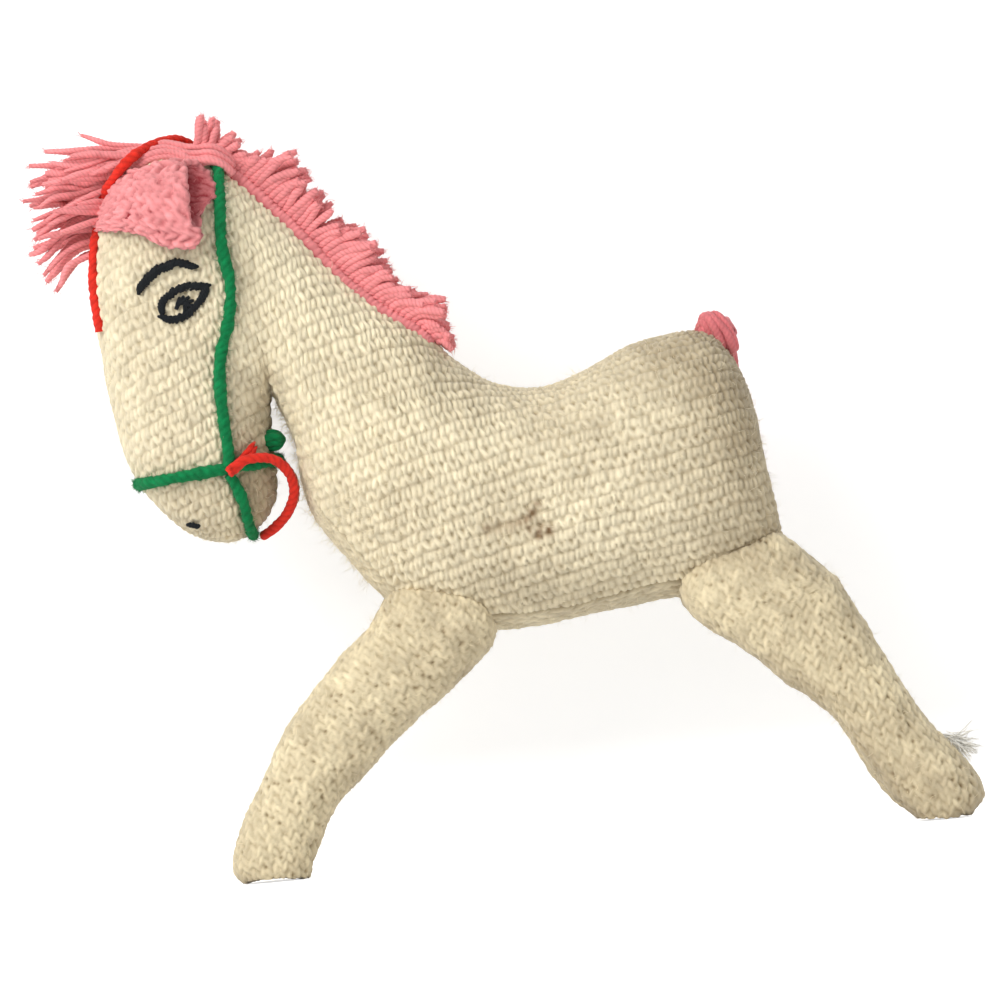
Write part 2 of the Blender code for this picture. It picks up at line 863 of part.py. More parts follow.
def ear_ring(place, height_share, wall, side):
    """One outline across the ear: up its inner face against the head, then down its outer face."""
    axis = nod_axis()
    x = axis.x + ear_length * (ear_mouth_share - place)
    centre_z = axis.z + ear_height * (ear_centre_shares[0] * (1 - place) + ear_centre_shares[1] * place)
    half_height = max(ear_height / 2 * height_share - wall, probe_step_share * ear_height)
    bulge = max(ear_bulge * height_share - wall, 0.0)
    ring = []
    for k in range(ear_side_steps):
        angle = math.pi * (1 - k / (ear_side_steps - 1))
        z = centre_z + half_height * math.cos(angle)
        ring.append(Vector((x, side * (ear_root_y(x, z) + wall), z)))
    for k in range(ear_side_steps):
        angle = math.pi * k / (ear_side_steps - 1)
        z = centre_z + half_height * math.cos(angle)
        skin = 0.0 if wall else ear_wall
        y = ear_root_y(x, z) + wall + skin + bulge * math.sin(angle)
        ring.append(Vector((x, side * y, z)))
    return ring


def ear_hinge(side):
    axis = nod_axis()
    x = axis.x + ear_length * ear_mouth_share
    z = axis.z + ear_height * (ear_centre_shares[0] + 0.5)
    return Vector((x, side * ear_root_y(x, z), z))


def make_ears():
    for name, side in (("ear_left", -1), ("ear_right", 1)):
        outer = [ear_ring(place, share, 0.0, side) for place, share in ear_station_shares]
        inner = [ear_ring(place, share, ear_wall, side) for place, share in ear_hollow_shares]
        link(name, cup_loft(name, outer, inner), pink, ear_hinge(side))


# Mane, forelock and tail


def plume(name, stations, thickness, slot, depth, origin):
    """A comb of locks: (root, tip) stations in the middle plane, thick at the roots and thin at the tips."""
    half = thickness / 2
    rings = []
    for root, tip in stations:
        out = (tip - root).normalized()
        body = (tip - root).length
        groove = root + out * depth
        outline = [(root, half), (root, slot), (groove, slot), (groove, -slot), (root, -slot), (root, -half)]
        middle = root + out * body / 2
        edge = min(tuft_edge / 2, half)
        outline += [(middle, -half), (tip, -edge), (tip, edge), (middle, half)]
        rings.append([Vector((p.x, y, p.z)) for p, y in outline])
    return link(name, closed_loft(name, rings), pink, origin)


def lock_tips(roots, rows, length):
    """Tips for roots spaced along a hairline, each second one drawn in to part the locks."""
    stations = []
    last = len(roots) - 1
    for k, root in enumerate(roots):
        share = k / last
        i = max(n for n in range(len(rows) - 1) if rows[n][0] <= share)
        f = (share - rows[i][0]) / (rows[i + 1][0] - rows[i][0])
        lean = math.radians(rows[i][1] + (rows[i + 1][1] - rows[i][1]) * f)
        reach = length * (rows[i][2] + (rows[i + 1][2] - rows[i][2]) * f)
        if k % 2:
            reach *= lock_valley_share
        out = Vector((math.sin(lean), 0, math.cos(lean)))
        stations.append((root, root + out * reach))
    return stations


def crest_roots(count):
    """Points along the hairline, over the back of the head and down the crest of the neck."""
    ribs = body_ribs()
    last_rib = len(ribs) - 2
    join = Vector((spline(ribs, last_rib)[0], 0, spline(ribs, last_rib)[1])) - nod_axis()
    join_angle = math.degrees(math.atan2(join.x, join.z))
    route = []
    steps = 2 * count
    for k in range(steps + 1):
        degrees = mane_first_angle + (join_angle - mane_first_angle) * k / steps
        route.append(round_point(degrees, cheek_radius))
    for k in range(1, steps + 1):
        top_x, _, _, _, _ = spline(ribs, last_rib + (mane_last_rib_share - last_rib) * k / steps)
        top_z = spline(ribs, last_rib + (mane_last_rib_share - last_rib) * k / steps)[1]
        route.append(Vector((top_x, 0, top_z)))
    return evenly(route, count)


def evenly(route, count):
    """A route read again at even steps along its length."""
    lengths = [0.0]
    for a, b in zip(route, route[1:]):
        lengths.append(lengths[-1] + (b - a).length)
    found = []
    for k in range(count):
        want = lengths[-1] * k / (count - 1)
        i = max(n for n in range(len(route) - 1) if lengths[n] <= want)
        f = (want - lengths[i]) / (lengths[i + 1] - lengths[i])
        found.append(route[i].lerp(route[i + 1], min(f, 1.0)))
    return found


def lifted(roots):
    """Roots raised off the skin along the outward side of their route."""
    raised = []
    for k, root in enumerate(roots):
        along = (roots[min(k + 1, len(roots) - 1)] - roots[max(k - 1, 0)]).normalized()
        out = Vector((-along.z, 0, along.x))
        if out.dot(root - nod_axis()) < 0:
            out = -out
        raised.append(root + out * joint_gap)
    return raised


def make_mane():
    roots = lifted(crest_roots(mane_stations))
    stations = lock_tips(roots, mane_lock_shares, mane_length)
    plume("mane", stations, mane_thickness, 0.0, 0.0, withers_point())


def make_forelock():
    rim = [p for p, _ in head_rim()]
    route = [rim[-1], rim[0], rim[1], rim[2]]
    roots = lifted(evenly(route, forelock_stations))
    stations = lock_tips(roots, forelock_lock_shares, forelock_length)
    slot = red_radius + green_standoff
    depth = slot + slot
    plume("forelock", stations, forelock_thickness, slot, depth, nod_axis())


def make_tail():
    route = []
    for degrees, girth in tail_route_shares:
        turn = 2 * math.pi - math.radians(degrees)
        lift = tail_radius + tail_standoff
        route.append((*sunk_point(tail_rib_share, turn, -lift, False, 0.0), girth))
    last = len(route) - 1
    count = 2 * last + 1
    rings = []
    for k in range(count):
        t = k * last / (count - 1)
        x, y, z, girth = spline(route, t)
        ahead = Vector(spline(route, min(t + probe_step_share, last))[:3])
        behind = Vector(spline(route, max(t - probe_step_share, 0))[:3])
        along = (ahead - behind).normalized()
        side = along.cross(Vector((1, 0, 0))).normalized()
        other = along.cross(side)
        ring = []
        for s in range(tail_sides):
            angle = 2 * math.pi * s / tail_sides
            reach = side * math.cos(angle) + other * math.sin(angle)
            ring.append(Vector((x, y, z)) + reach * tail_radius * girth)
        rings.append(ring)
    link("tail", closed_loft("tail", rings), pink, Vector(route[0][:3]))


# Bridle


def cord(name, route, radius, colour, closed=False):
    """A round cord along a smooth curve through its route."""
    spacing = spacing_in_diameters * 2 * radius
    rows = [tuple(p) for p in route]
    if closed:
        rows = [rows[-1], *rows, rows[0], rows[1]]
    dense = []
    first, last = (1, len(rows) - 2) if closed else (0, len(rows) - 1)
    for k in range((last - first) * cord_samples_per_span + 1):
        dense.append(Vector(spline(rows, first + k / cord_samples_per_span)))
    length = sum((b - a).length for a, b in zip(dense, dense[1:]))
    count = max(round(length / spacing), 3)
    points = evenly(dense, count + 1)
    if closed:
        points = points[:-1]
    data = bpy.data.curves.new(name, "CURVE")
    data.dimensions = "3D"
    data.bevel_depth = radius
    data.bevel_resolution = bevel_steps
    data.use_fill_caps = True
    path = data.splines.new("POLY")
    path.points.add(len(points) - 1)
    for place, point in zip(path.points, points):
        place.co = (*(point - nod_axis()), 1.0)
    path.use_cyclic_u = closed
    made = link(name, data, colour)
    made.location = nod_axis()
    return made


def mirrored(points):
    return [Vector((p.x, -p.y, p.z)) for p in points]


def make_cheek_straps():
    """One green cord from the noseband up the left cheek, over the poll and down the right."""
    off = green_radius + green_standoff
    axis, half_width = head_line(0)
    edge = round_point(poll_crossing_angle, cheek_radius)
    side = [over_edge(axis, edge, half_width, off, d) for d in poll_crossing_steps]
    for x_share, z_share in cheek_strap_shares:
        place = head_place(x_share, z_share)
        place.y = -(head_half_width(place.x, place.z) + off)
        side.append(place)
    cord("cheek_straps", list(reversed(side)) + mirrored(side[1:]), green_radius, green)


def make_noseband():
    """A green ring round the muzzle."""
    off = green_radius + green_standoff
    front = head_place(noseband_shares[0], noseband_shares[1])
    back = head_place(noseband_shares[2], noseband_shares[3])
    centre = (front + back) / 2
    along = (back - front) / 2
    middle = head_line(len(head_line_shares) - 1)[0]
    half_width = head_half_width(middle.x, centre.z)
    route = []
    for k in range(noseband_points):
        angle = 2 * math.pi * k / noseband_points
        reach = signed_power(math.cos(angle), 2 / head_power)
        point = centre + along.normalized() * (along.length + off) * reach
        point.y = (half_width + off) * signed_power(math.sin(angle), 2 / head_power)
        route.append(point)
    cord("noseband", route, green_radius, green, closed=True)


def make_mouth_strap():
    """A green cord from the noseband down past the mouth and under the chin."""
    off = green_radius + green_standoff
    centre, half_width = head_line(len(head_line_shares) - 1)
    edge = head_place(*mouth_strap_edge_shares)
    side = [over_edge(centre, edge, half_width, off, d) for d in mouth_crossing_steps]
    place = head_place(*mouth_strap_top_shares)
    place.y = -(head_half_width(place.x, place.z) + off)
    side.append(place)
    cord("mouth_strap", list(reversed(side)) + mirrored(side[1:]), green_radius, green)


def make_face_strap():
    """A red cord down the middle of the forehead and face."""
    off = red_radius + red_standoff
    rim = [round_point(degrees, cheek_radius) for degrees in (*face_strap_angles, cheek_first_angle)]
    rim += [p for p, _ in head_rim()][:face_strap_last]
    route = []
    for k, point in enumerate(rim):
        along = (rim[min(k + 1, len(rim) - 1)] - rim[max(k - 1, 0)]).normalized()
        out = Vector((-along.z, 0, along.x))
        if out.dot(point - nod_axis()) < 0:
            out = -out
        route.append(point + out * off)
    cord("face_strap", route, red_radius, red)


def make_rein():
    """A red cord loop from one end of the noseband, behind the chin, to the other."""
    side = []
    for x_share, z_share, y_share in rein_route_shares:
        place = head_place(x_share, z_share)
        place.y = -y_share * head_width / 2
        side.append(place)
    cord("rein", side + mirrored(list(reversed(side[:-1]))), red_radius, red)


def make_knot():
    """A knot of the green yarn, in the hollow behind the jaw."""
    centre = head_place(knot_shares[0], knot_shares[1])
    centre.y = -knot_shares[2] * head_width / 2
    work = bmesh.new()
    bmesh.ops.create_icosphere(work, subdivisions=2, radius=knot_radius)
    data = bpy.data.meshes.new("throat_knot")
    work.to_mesh(data)
    work.free()
    data.transform(Matrix.Translation(centre))
    data.shade_smooth()
    link("throat_knot", data, green, nod_axis())


def make_fray():
    """The frayed end of white yarn that stands out behind the left hind fetlock."""
    rows, _ = leg_rows(False, 0.0)
    heels = [Vector((x - half_x, 0, z - half_z)) for x, z, half_x, half_z, _, _ in rows]
    root = heels[fray_rib]
    root.y = -leg_spacing / 2 - rows[fray_rib][5]
    along = (heels[fray_rib + 1] - heels[fray_rib - 1]).normalized()
    out = Vector((-along.z, 0, along.x))
    side = out.cross(Vector((0, 1, 0))).normalized()
    rings = []
    for share, girth in fray_girth_shares:
        centre = root + out * (joint_gap + fray_length * share)
        ring = []
        for k in range(fray_sides):
            angle = 2 * math.pi * k / fray_sides
            reach = side * math.cos(angle) + Vector((0, 1, 0)) * math.sin(angle)
            ring.append(centre + reach * fray_radius * girth)
        rings.append(ring)
    link("fetlock_fray", closed_loft("fetlock_fray", rings), white_yarn, hinge_point(False, True))


def main():
    clear_scene()
    body = make_body()
    make_head()
    pocket = turned("head_pocket", nod_axis(), cheek_radius, head_width / 2, head_power, joint_gap)
    for name, solid in body.items():
        if name.startswith("neck"):
            cut(solid, [pocket])
    cutters = make_legs()
    cut(body["trunk_panel_left"], cutters["left"])
    cut(body["trunk_panel_right"], cutters["right"])
    for name in ("trunk_gusset", "trunk_stuffing"):
        cut(body[name], cutters["left"] + cutters["right"])
    make_ears()
    make_mane()
    make_forelock()
    make_tail()
    make_cheek_straps()
    make_noseband()
    make_mouth_strap()
    make_face_strap()
    make_rein()
    make_knot()
    make_fray()


main()
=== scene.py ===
import math

import bpy
import numpy as np
from mathutils import Matrix, Vector
from mathutils.bvhtree import BVHTree


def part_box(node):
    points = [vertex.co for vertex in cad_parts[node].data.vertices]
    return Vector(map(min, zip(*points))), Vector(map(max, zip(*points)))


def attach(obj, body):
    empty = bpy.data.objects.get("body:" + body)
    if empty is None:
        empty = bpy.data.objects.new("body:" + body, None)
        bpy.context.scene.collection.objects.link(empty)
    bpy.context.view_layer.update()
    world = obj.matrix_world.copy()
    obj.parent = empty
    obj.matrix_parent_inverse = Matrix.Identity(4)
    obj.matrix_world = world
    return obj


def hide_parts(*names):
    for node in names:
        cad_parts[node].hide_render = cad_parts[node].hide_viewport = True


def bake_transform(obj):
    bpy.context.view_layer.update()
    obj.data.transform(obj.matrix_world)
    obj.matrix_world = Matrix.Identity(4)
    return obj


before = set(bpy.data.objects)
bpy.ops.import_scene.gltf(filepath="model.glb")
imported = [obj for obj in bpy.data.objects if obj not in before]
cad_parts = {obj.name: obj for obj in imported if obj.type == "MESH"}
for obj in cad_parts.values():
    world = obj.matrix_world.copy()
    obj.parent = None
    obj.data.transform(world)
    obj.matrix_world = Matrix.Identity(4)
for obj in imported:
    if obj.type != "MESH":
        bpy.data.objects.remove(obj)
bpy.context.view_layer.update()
chance = np.random.default_rng(7)
print("frame loaded")

# Number helpers


def readRows(rows, places):
    # The rows of a table read at fractional places, on smooth curves through them
    rows = np.asarray(rows, float)
    places = np.clip(np.atleast_1d(np.asarray(places, float)), 0, len(rows) - 1)
    i = np.minimum(places.astype(int), len(rows) - 2)
    f = (places - i)[:, None]
    here, after = rows[i], rows[i + 1]
    slopeHere = (after - rows[np.maximum(i - 1, 0)]) / 2
    slopeAfter = (rows[np.minimum(i + 2, len(rows) - 1)] - here) / 2
    start = here * (1 - f) ** 2 * (1 + 2 * f) + slopeHere * f * (1 - f) ** 2
    return start + after * f**2 * (3 - 2 * f) - slopeAfter * f**2 * (1 - f)


def pathLengths(points):
    steps = np.linalg.norm(np.diff(points, axis=0), axis=1)
    return np.concatenate([[0.0], np.cumsum(steps)])


def spaced(line, wanted):
    # A line of points read again at given lengths along it
    lengths = pathLengths(line)
    return np.stack([np.interp(wanted, lengths, axis) for axis in line.T], axis=1)


def evenRoute(points, step):
    # A smooth route through given points, read again at even steps
    points = np.asarray(points, float)
    fine = readRows(points, np.linspace(0, len(points) - 1, 24 * len(points)))
    length = pathLengths(fine)[-1]
    return spaced(fine, np.linspace(0, length, max(int(length / step), 3) + 1))


def unit(vectors):
    return vectors / np.maximum(np.linalg.norm(vectors, axis=-1, keepdims=True), 1e-12)


def signedPower(values, power):
    return np.sign(values) * np.abs(values) ** power


def scatter(a, b, salt):
    # A repeatable number from 0 to 1 for each pair of whole numbers
    mixed = np.sin(a * 127.1 + b * 311.7 + salt * 74.7) * 43758.5453
    return mixed - np.floor(mixed)


def softNoise(points, size, salt):
    # Smooth noise from -1 to 1 over places in space
    grid = points / size
    base = np.floor(grid)
    f = grid - base
    f = f * f * (3 - 2 * f)
    total = np.zeros(points.shape[:-1])
    for dx in (0, 1):
        for dy in (0, 1):
            for dz in (0, 1):
                corner = base + (dx, dy, dz)
                weight = np.abs(1 - dx - f[..., 0]) * np.abs(1 - dy - f[..., 1]) * np.abs(1 - dz - f[..., 2])
                total += weight * scatter(corner[..., 0] + 57 * corner[..., 2], corner[..., 1], salt)
    return 2 * total - 1


def bell(values, width):
    return np.exp(-((values / width) ** 2))


def ramp(values, start, width):
    return np.clip((values - start) / width, 0, 1)


# Mesh helpers


def meshObject(name, points, quads, fields, uv=None, normals=None):
    # A smooth mesh of quads with one value of each field at each point
    used, quads = np.unique(quads, return_inverse=True)
    quads = quads.reshape(-1, 4)
    points = points.reshape(-1, 3)[used]
    centre = points.mean(axis=0)
    a, b, c, d = (points[quads[:, k]] - centre for k in range(4))
    if np.einsum("ij,ij->i", a + b + c + d, np.cross(c - a, d - b)).sum() < 0:
        quads = quads[:, ::-1]
    mesh = bpy.data.meshes.new(name)
    mesh.vertices.add(len(points))
    mesh.vertices.foreach_set("co", points.ravel())
    mesh.loops.add(quads.size)
    mesh.loops.foreach_set("vertex_index", quads.ravel().astype(np.int32))
    mesh.polygons.add(len(quads))
    mesh.polygons.foreach_set("loop_start", np.arange(0, quads.size, 4, dtype=np.int32))
    mesh.update(calc_edges=True)
    for field, values in fields.items():
        flat = np.asarray(values, np.float32).ravel()[used]
        mesh.attributes.new(field, "FLOAT", "POINT").data.foreach_set("value", flat)
    if uv is not None:
        places = uv.reshape(-1, 2)[used][quads.ravel()]
        mesh.uv_layers.new(name="stitches").data.foreach_set("uv", places.astype(np.float32).ravel())
    mesh.shade_smooth()
    if normals is not None:
        mesh.normals_split_custom_set_from_vertices(normals.reshape(-1, 3)[used].tolist())
    made = bpy.data.objects.new(name, mesh)
    bpy.context.scene.collection.objects.link(made)
    return made


def gridQuads(rows, columns, wrap=True):
    index = np.arange(rows * columns).reshape(rows, columns)
    beside = np.roll(index, -1, axis=1)
    if not wrap:
        index, beside = index[:, :-1], beside[:, :-1]
    corners = (index[:-1], beside[:-1], beside[1:], index[1:])
    return np.stack([c.ravel() for c in corners], axis=1)


def gridNormals(points, wrap=True):
    # Outward directions of a grid of points, outward from its own middle line
    down = np.gradient(points, axis=0)
    if wrap:
        across = np.roll(points, -1, axis=1) - np.roll(points, 1, axis=1)
    else:
        across = np.gradient(points, axis=1)
    normals = unit(np.cross(down, across))
    middle = points.mean(axis=1, keepdims=True)
    if np.einsum("ijk,ijk->", normals, points - middle) < 0:
        normals = -normals
    return normals


def tubes(routes, radii, sides, lobes=0, twist=0.0, side=(0.0, 1.0, 0.0), lobeDepth=0.2):
    # Tubes along many routes at once: their points, and the share of the full radius at each
    along = unit(np.gradient(routes, axis=1))
    first = unit(np.cross(along, np.broadcast_to(side, along.shape)))
    second = np.cross(along, first)
    steps = np.linalg.norm(np.diff(routes, axis=1), axis=2)
    lengths = np.concatenate([np.zeros((len(routes), 1)), np.cumsum(steps, axis=1)], axis=1)
    turn = np.linspace(0, 2 * math.pi, sides, endpoint=False)[None, None, :]
    lobe = np.ones((*lengths.shape, sides))
    if lobes:
        phase = turn - (lengths * twist)[..., None]
        lobe = 1 - lobeDepth + lobeDepth * np.abs(np.cos(phase * lobes / 2)) ** 0.8
    reach = radii[..., None] * lobe
    points = routes[:, :, None, :] + reach[..., None] * (
        np.cos(turn)[..., None] * first[:, :, None, :] + np.sin(turn)[..., None] * second[:, :, None, :]
    )
    return points, lobe


def tubesObject(name, points, fields, uv=None):
    # One object from a batch of tubes
    count, rows, sides = points.shape[:3]
    one = gridQuads(rows, sides)
    quads = (one[None] + (np.arange(count) * rows * sides)[:, None, None]).reshape(-1, 4)
    return meshObject(name, points, quads, fields, uv)


# Materials

# Colours as they look in even light, from 0 to 1
yarnColours = {
    "cream": (0.860, 0.765, 0.545),
    # The legs' cream is a little darker and yellower than the body's, in part painted shade
    "legCream": (0.850, 0.735, 0.490),
    "creamShade": (0.270, 0.195, 0.100),
    # Colour of grime, also used for painted shade on the rump, under the jaw and under the legs
    "grimeAndShade": (0.425, 0.348, 0.228),
    "stain": (0.20, 0.105, 0.045),
    "pink": (0.85, 0.282, 0.285),
    "pinkShade": (0.30, 0.022, 0.030),
    "darkPink": (0.72, 0.19, 0.20),
    "earPink": (0.92, 0.345, 0.345),
    "green": (0.001, 0.205, 0.060),
    "greenShade": (0.0, 0.03, 0.01),
    "red": (0.76, 0.032, 0.017),
    "redShade": (0.20, 0.0, 0.0),
    "black": (0.011, 0.013, 0.015),
    "blackShade": (0.002, 0.002, 0.003),
    "white": (0.86, 0.84, 0.78),
    "whiteShade": (0.45, 0.40, 0.30),
}


def link(tree, source, target):
    tree.links.new(source, target)


def addNode(tree, kind, **values):
    node = tree.nodes.new(kind)
    for name, value in values.items():
        setattr(node, name, value)
    return node


def mixColour(tree, factor, first, second):
    # A colour mix. Each input is a socket or a plain colour.
    node = addNode(tree, "ShaderNodeMix", data_type="RGBA", clamp_factor=True)
    for index, value in ((0, factor), (6, first), (7, second)):
        if isinstance(value, bpy.types.NodeSocket):
            link(tree, value, node.inputs[index])
        elif index:
            node.inputs[index].default_value = (*value, 1.0)
        else:
            node.inputs[index].default_value = value
    return node.outputs[2]


def calculate(tree, operation, first, second=0.0, clamp=False):
    node = addNode(tree, "ShaderNodeMath", operation=operation, use_clamp=clamp)
    for index, value in enumerate((first, second)):
        if isinstance(value, bpy.types.NodeSocket):
            link(tree, value, node.inputs[index])
        else:
            node.inputs[index].default_value = value
    return node.outputs[0]


woolSizes = {
    "grain": 0.55,
    "patch": 0.30,
    "patchScale": 260.0,
    "tint": 0.10,
    "deepGrain": 0.5,
    "roughness": 0.9,
    "specular": 0.15,
    "sheenRoughness": 0.6,
    "reliefDistance": 0.0006,
}


def makeWoolGroup():
    # Shared look of yarn: fibre colour and height from places on the yarn and in space. Colour goes toward the
    # Shade colour by Depth, painted shade in gaps, grooves and hollows.
    group = bpy.data.node_groups.new("woolFibres", "ShaderNodeTree")
    for name, kind, default in (
        ("Colour", "NodeSocketColor", (0.8, 0.8, 0.8, 1)),
        ("Shade", "NodeSocketColor", (0.1, 0.1, 0.1, 1)),
        ("Depth", "NodeSocketFloat", 0.0),
        ("Tint", "NodeSocketFloat", 0.0),
        ("Scale", "NodeSocketFloat", 1500.0),
    ):
        socket = group.interface.new_socket(name=name, in_out="INPUT", socket_type=kind)
        socket.default_value = default
    for name, kind in (("Colour", "NodeSocketColor"), ("Height", "NodeSocketFloat")):
        group.interface.new_socket(name=name, in_out="OUTPUT", socket_type=kind)
    inside = group.nodes.new("NodeGroupInput").outputs
    outside = group.nodes.new("NodeGroupOutput").inputs
    place = addNode(group, "ShaderNodeTexCoord").outputs["Object"]
    fine = addNode(group, "ShaderNodeTexNoise")
    fine.inputs["Detail"].default_value = 4.0
    fine.inputs["Roughness"].default_value = 0.65
    link(group, place, fine.inputs["Vector"])
    link(group, inside["Scale"], fine.inputs["Scale"])
    broad = addNode(group, "ShaderNodeTexNoise")
    broad.inputs["Scale"].default_value = woolSizes["patchScale"]
    broad.inputs["Detail"].default_value = 2.0
    link(group, place, broad.inputs["Vector"])
    grain = calculate(group, "SUBTRACT", fine.outputs["Fac"], 0.5)
    patch = calculate(group, "SUBTRACT", broad.outputs["Fac"], 0.5)
    bright = calculate(group, "MULTIPLY", grain, woolSizes["grain"])
    bright = calculate(group, "ADD", bright, calculate(group, "MULTIPLY", patch, woolSizes["patch"]))
    bright = calculate(group, "ADD", bright, calculate(group, "MULTIPLY", inside["Tint"], woolSizes["tint"]))
    bright = calculate(group, "ADD", bright, 1.0)
    scaled = addNode(group, "ShaderNodeVectorMath", operation="SCALE")
    link(group, inside["Colour"], scaled.inputs[0])
    link(group, bright, scaled.inputs["Scale"])
    deepGrain = calculate(group, "MULTIPLY", grain, woolSizes["deepGrain"])
    deep = calculate(group, "ADD", inside["Depth"], deepGrain, True)
    link(group, mixColour(group, deep, scaled.outputs[0], inside["Shade"]), outside["Colour"])
    link(group, grain, outside["Height"])
    return group


woolGroup = makeWoolGroup()


def makeMaterial(name, colour, shade, scale=1500.0, bump=0.35, marks=(), sheen=0.18):
    # A yarn material. Marks are fields painted over the wool, each with its own colour.
    made = bpy.data.materials.new(name)
    made.use_nodes = True
    tree = made.node_tree
    shader = tree.nodes["Principled BSDF"]
    shader.inputs["Roughness"].default_value = woolSizes["roughness"]
    shader.inputs["Specular IOR Level"].default_value = woolSizes["specular"]
    shader.inputs["Sheen Weight"].default_value = sheen
    shader.inputs["Sheen Roughness"].default_value = woolSizes["sheenRoughness"]
    wool = addNode(tree, "ShaderNodeGroup", node_tree=woolGroup)
    wool.inputs["Shade"].default_value = (*yarnColours[shade], 1)
    wool.inputs["Scale"].default_value = scale
    for field, socket in (("depth", "Depth"), ("tint", "Tint")):
        read = addNode(tree, "ShaderNodeAttribute", attribute_name=field)
        link(tree, read.outputs["Fac"], wool.inputs[socket])
    base = yarnColours[colour]
    for field, markColour in marks:
        read = addNode(tree, "ShaderNodeAttribute", attribute_name=field)
        base = mixColour(tree, read.outputs["Fac"], base, yarnColours[markColour])
    if isinstance(base, tuple):
        wool.inputs["Colour"].default_value = (*base, 1)
    else:
        link(tree, base, wool.inputs["Colour"])
    link(tree, wool.outputs["Colour"], shader.inputs["Base Color"])
    relief = addNode(tree, "ShaderNodeBump")
    relief.inputs["Strength"].default_value = bump
    relief.inputs["Distance"].default_value = woolSizes["reliefDistance"]
    link(tree, wool.outputs["Height"], relief.inputs["Height"])
    link(tree, relief.outputs["Normal"], shader.inputs["Normal"])
    return made


bodyMarks = (("grimeAndShade", "grimeAndShade"), ("stain", "stain"))
creamMaterial = makeMaterial("creamYarn", "cream", "creamShade", marks=bodyMarks)
legMaterial = makeMaterial("legYarn", "legCream", "creamShade", marks=bodyMarks)
pinkMaterial = makeMaterial("pinkYarn", "pink", "pinkShade", scale=1900.0)
earMaterial = makeMaterial("earYarn", "earPink", "pinkShade", scale=1300.0, bump=0.6)
darkPinkMaterial = makeMaterial("darkPinkYarn", "darkPink", "pinkShade", scale=1900.0)
greenMaterial = makeMaterial("greenYarn", "green", "greenShade", scale=1500.0, bump=0.9, sheen=0.06)
redMaterial = makeMaterial("redYarn", "red", "redShade", scale=1500.0, bump=0.9, sheen=0.06)
blackMaterial = makeMaterial("blackYarn", "black", "blackShade", scale=1900.0, bump=0.7, sheen=0.03)
whiteMaterial = makeMaterial("whiteYarn", "white", "whiteShade", scale=1900.0)


sideWords = {-1: "left", 1: "right"}


def dress(obj, material, body=None, nodes=()):
    # Material and slot, the body that carries the piece, and the solids that it stands for
    obj.data.materials.append(material)
    if body:
        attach(obj, body)
    if nodes:
        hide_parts(*nodes)
    return obj


# Body form

bodySizes = {
    "chestX": -0.0535,
    "bellyHeight": 0.0965,
    "trunkLength": 0.1705,
    "trunkDepth": 0.1165,
    "trunkHalfWidth": 0.040,
    "neckReach": 0.060,
    "neckRise": 0.060,
    "neckHalfWidth": 0.028,
    "cheekRadius": 0.060,
    "headDrop": 0.1075,
    "headHalfWidth": 0.031,
    "sectionPower": 2.35,
    "meshStep": 0.0007,
    "ringHalf": 220,
}
# Ribs from the rump: top x and z, bottom x and z, half width, in shares from chest and belly
trunkRibShares = (
    (0.961, 0.655, 0.963, 0.430, 0.0),
    (0.949, 0.755, 0.984, 0.325, 0.42),
    (0.926, 0.856, 0.994, 0.230, 0.66),
    (0.891, 0.944, 0.953, 0.142, 0.84),
    (0.848, 0.991, 0.877, 0.086, 0.95),
    (0.771, 0.993, 0.783, 0.060, 1.0),
    (0.668, 0.967, 0.677, 0.052, 1.0),
    (0.548, 0.897, 0.548, 0.028, 1.0),
    (0.438, 0.850, 0.431, 0.006, 0.99),
    (0.326, 0.880, 0.314, 0.0, 0.98),
    (0.228, 0.984, 0.185, 0.013, 0.97),
    (0.173, 1.080, 0.073, 0.056, 0.93),
    (0.115, 1.144, -0.009, 0.185, 0.88),
)
# Neck ribs in shares from the withers
neckRibShares = (
    (-0.157, 0.127, -0.552, -1.588, 1.14),
    (-0.352, 0.320, -0.730, -1.338, 1.06),
    (-0.502, 0.503, -0.810, -1.080, 1.02),
    (-0.610, 0.645, -0.835, -0.813, 1.0),
    (-0.835, 0.903, -0.927, -0.505, 0.98),
)
# Head ribs fan about the throat, from the poll over the face to the lips:
# top x and z, bottom x and z, from the nod axis in cheek radii and head drops, then half width
headRibShares = (
    (0.42, 0.486, 0.61, -0.438, 0.93),
    (0.18, 0.541, 0.605, -0.470, 0.97),
    (-0.08, 0.558, 0.60, -0.500, 1.0),
    (-0.30, 0.470, 0.597, -0.530, 1.0),
    (-0.455, 0.365, 0.597, -0.560, 1.0),
    (-0.545, 0.215, 0.60, -0.590, 1.0),
    (-0.578, 0.065, 0.605, -0.620, 0.99),
    (-0.568, -0.084, 0.61, -0.655, 0.97),
    (-0.550, -0.242, 0.61, -0.695, 0.94),
    (-0.530, -0.363, 0.61, -0.735, 0.91),
    (-0.497, -0.493, 0.60, -0.785, 0.87),
    (-0.447, -0.614, 0.575, -0.845, 0.83),
    (-0.375, -0.730, 0.53, -0.895, 0.78),
    (-0.275, -0.823, 0.47, -0.940, 0.70),
    (-0.150, -0.904, 0.39, -0.975, 0.56),
    (-0.025, -0.960, 0.29, -0.993, 0.34),
    (0.10, -0.992, 0.20, -0.999, 0.0),
)
nodAxisShares = (-1.568, 0.337)
sizes = bodySizes


def trunkPlace(xShare, zShare):
    x = sizes["chestX"] + xShare * sizes["trunkLength"]
    return x, sizes["bellyHeight"] + zShare * sizes["trunkDepth"]


withersX, withersZ = trunkPlace(*trunkRibShares[-1][:2])
nodX = withersX + nodAxisShares[0] * sizes["neckReach"]
nodZ = withersZ + nodAxisShares[1] * sizes["neckRise"]


def headPlace(xShare, zShare):
    return nodX + xShare * sizes["cheekRadius"], nodZ + zShare * sizes["headDrop"]


def neckPlace(xShare, zShare):
    return withersX + xShare * sizes["neckReach"], withersZ + zShare * sizes["neckRise"]


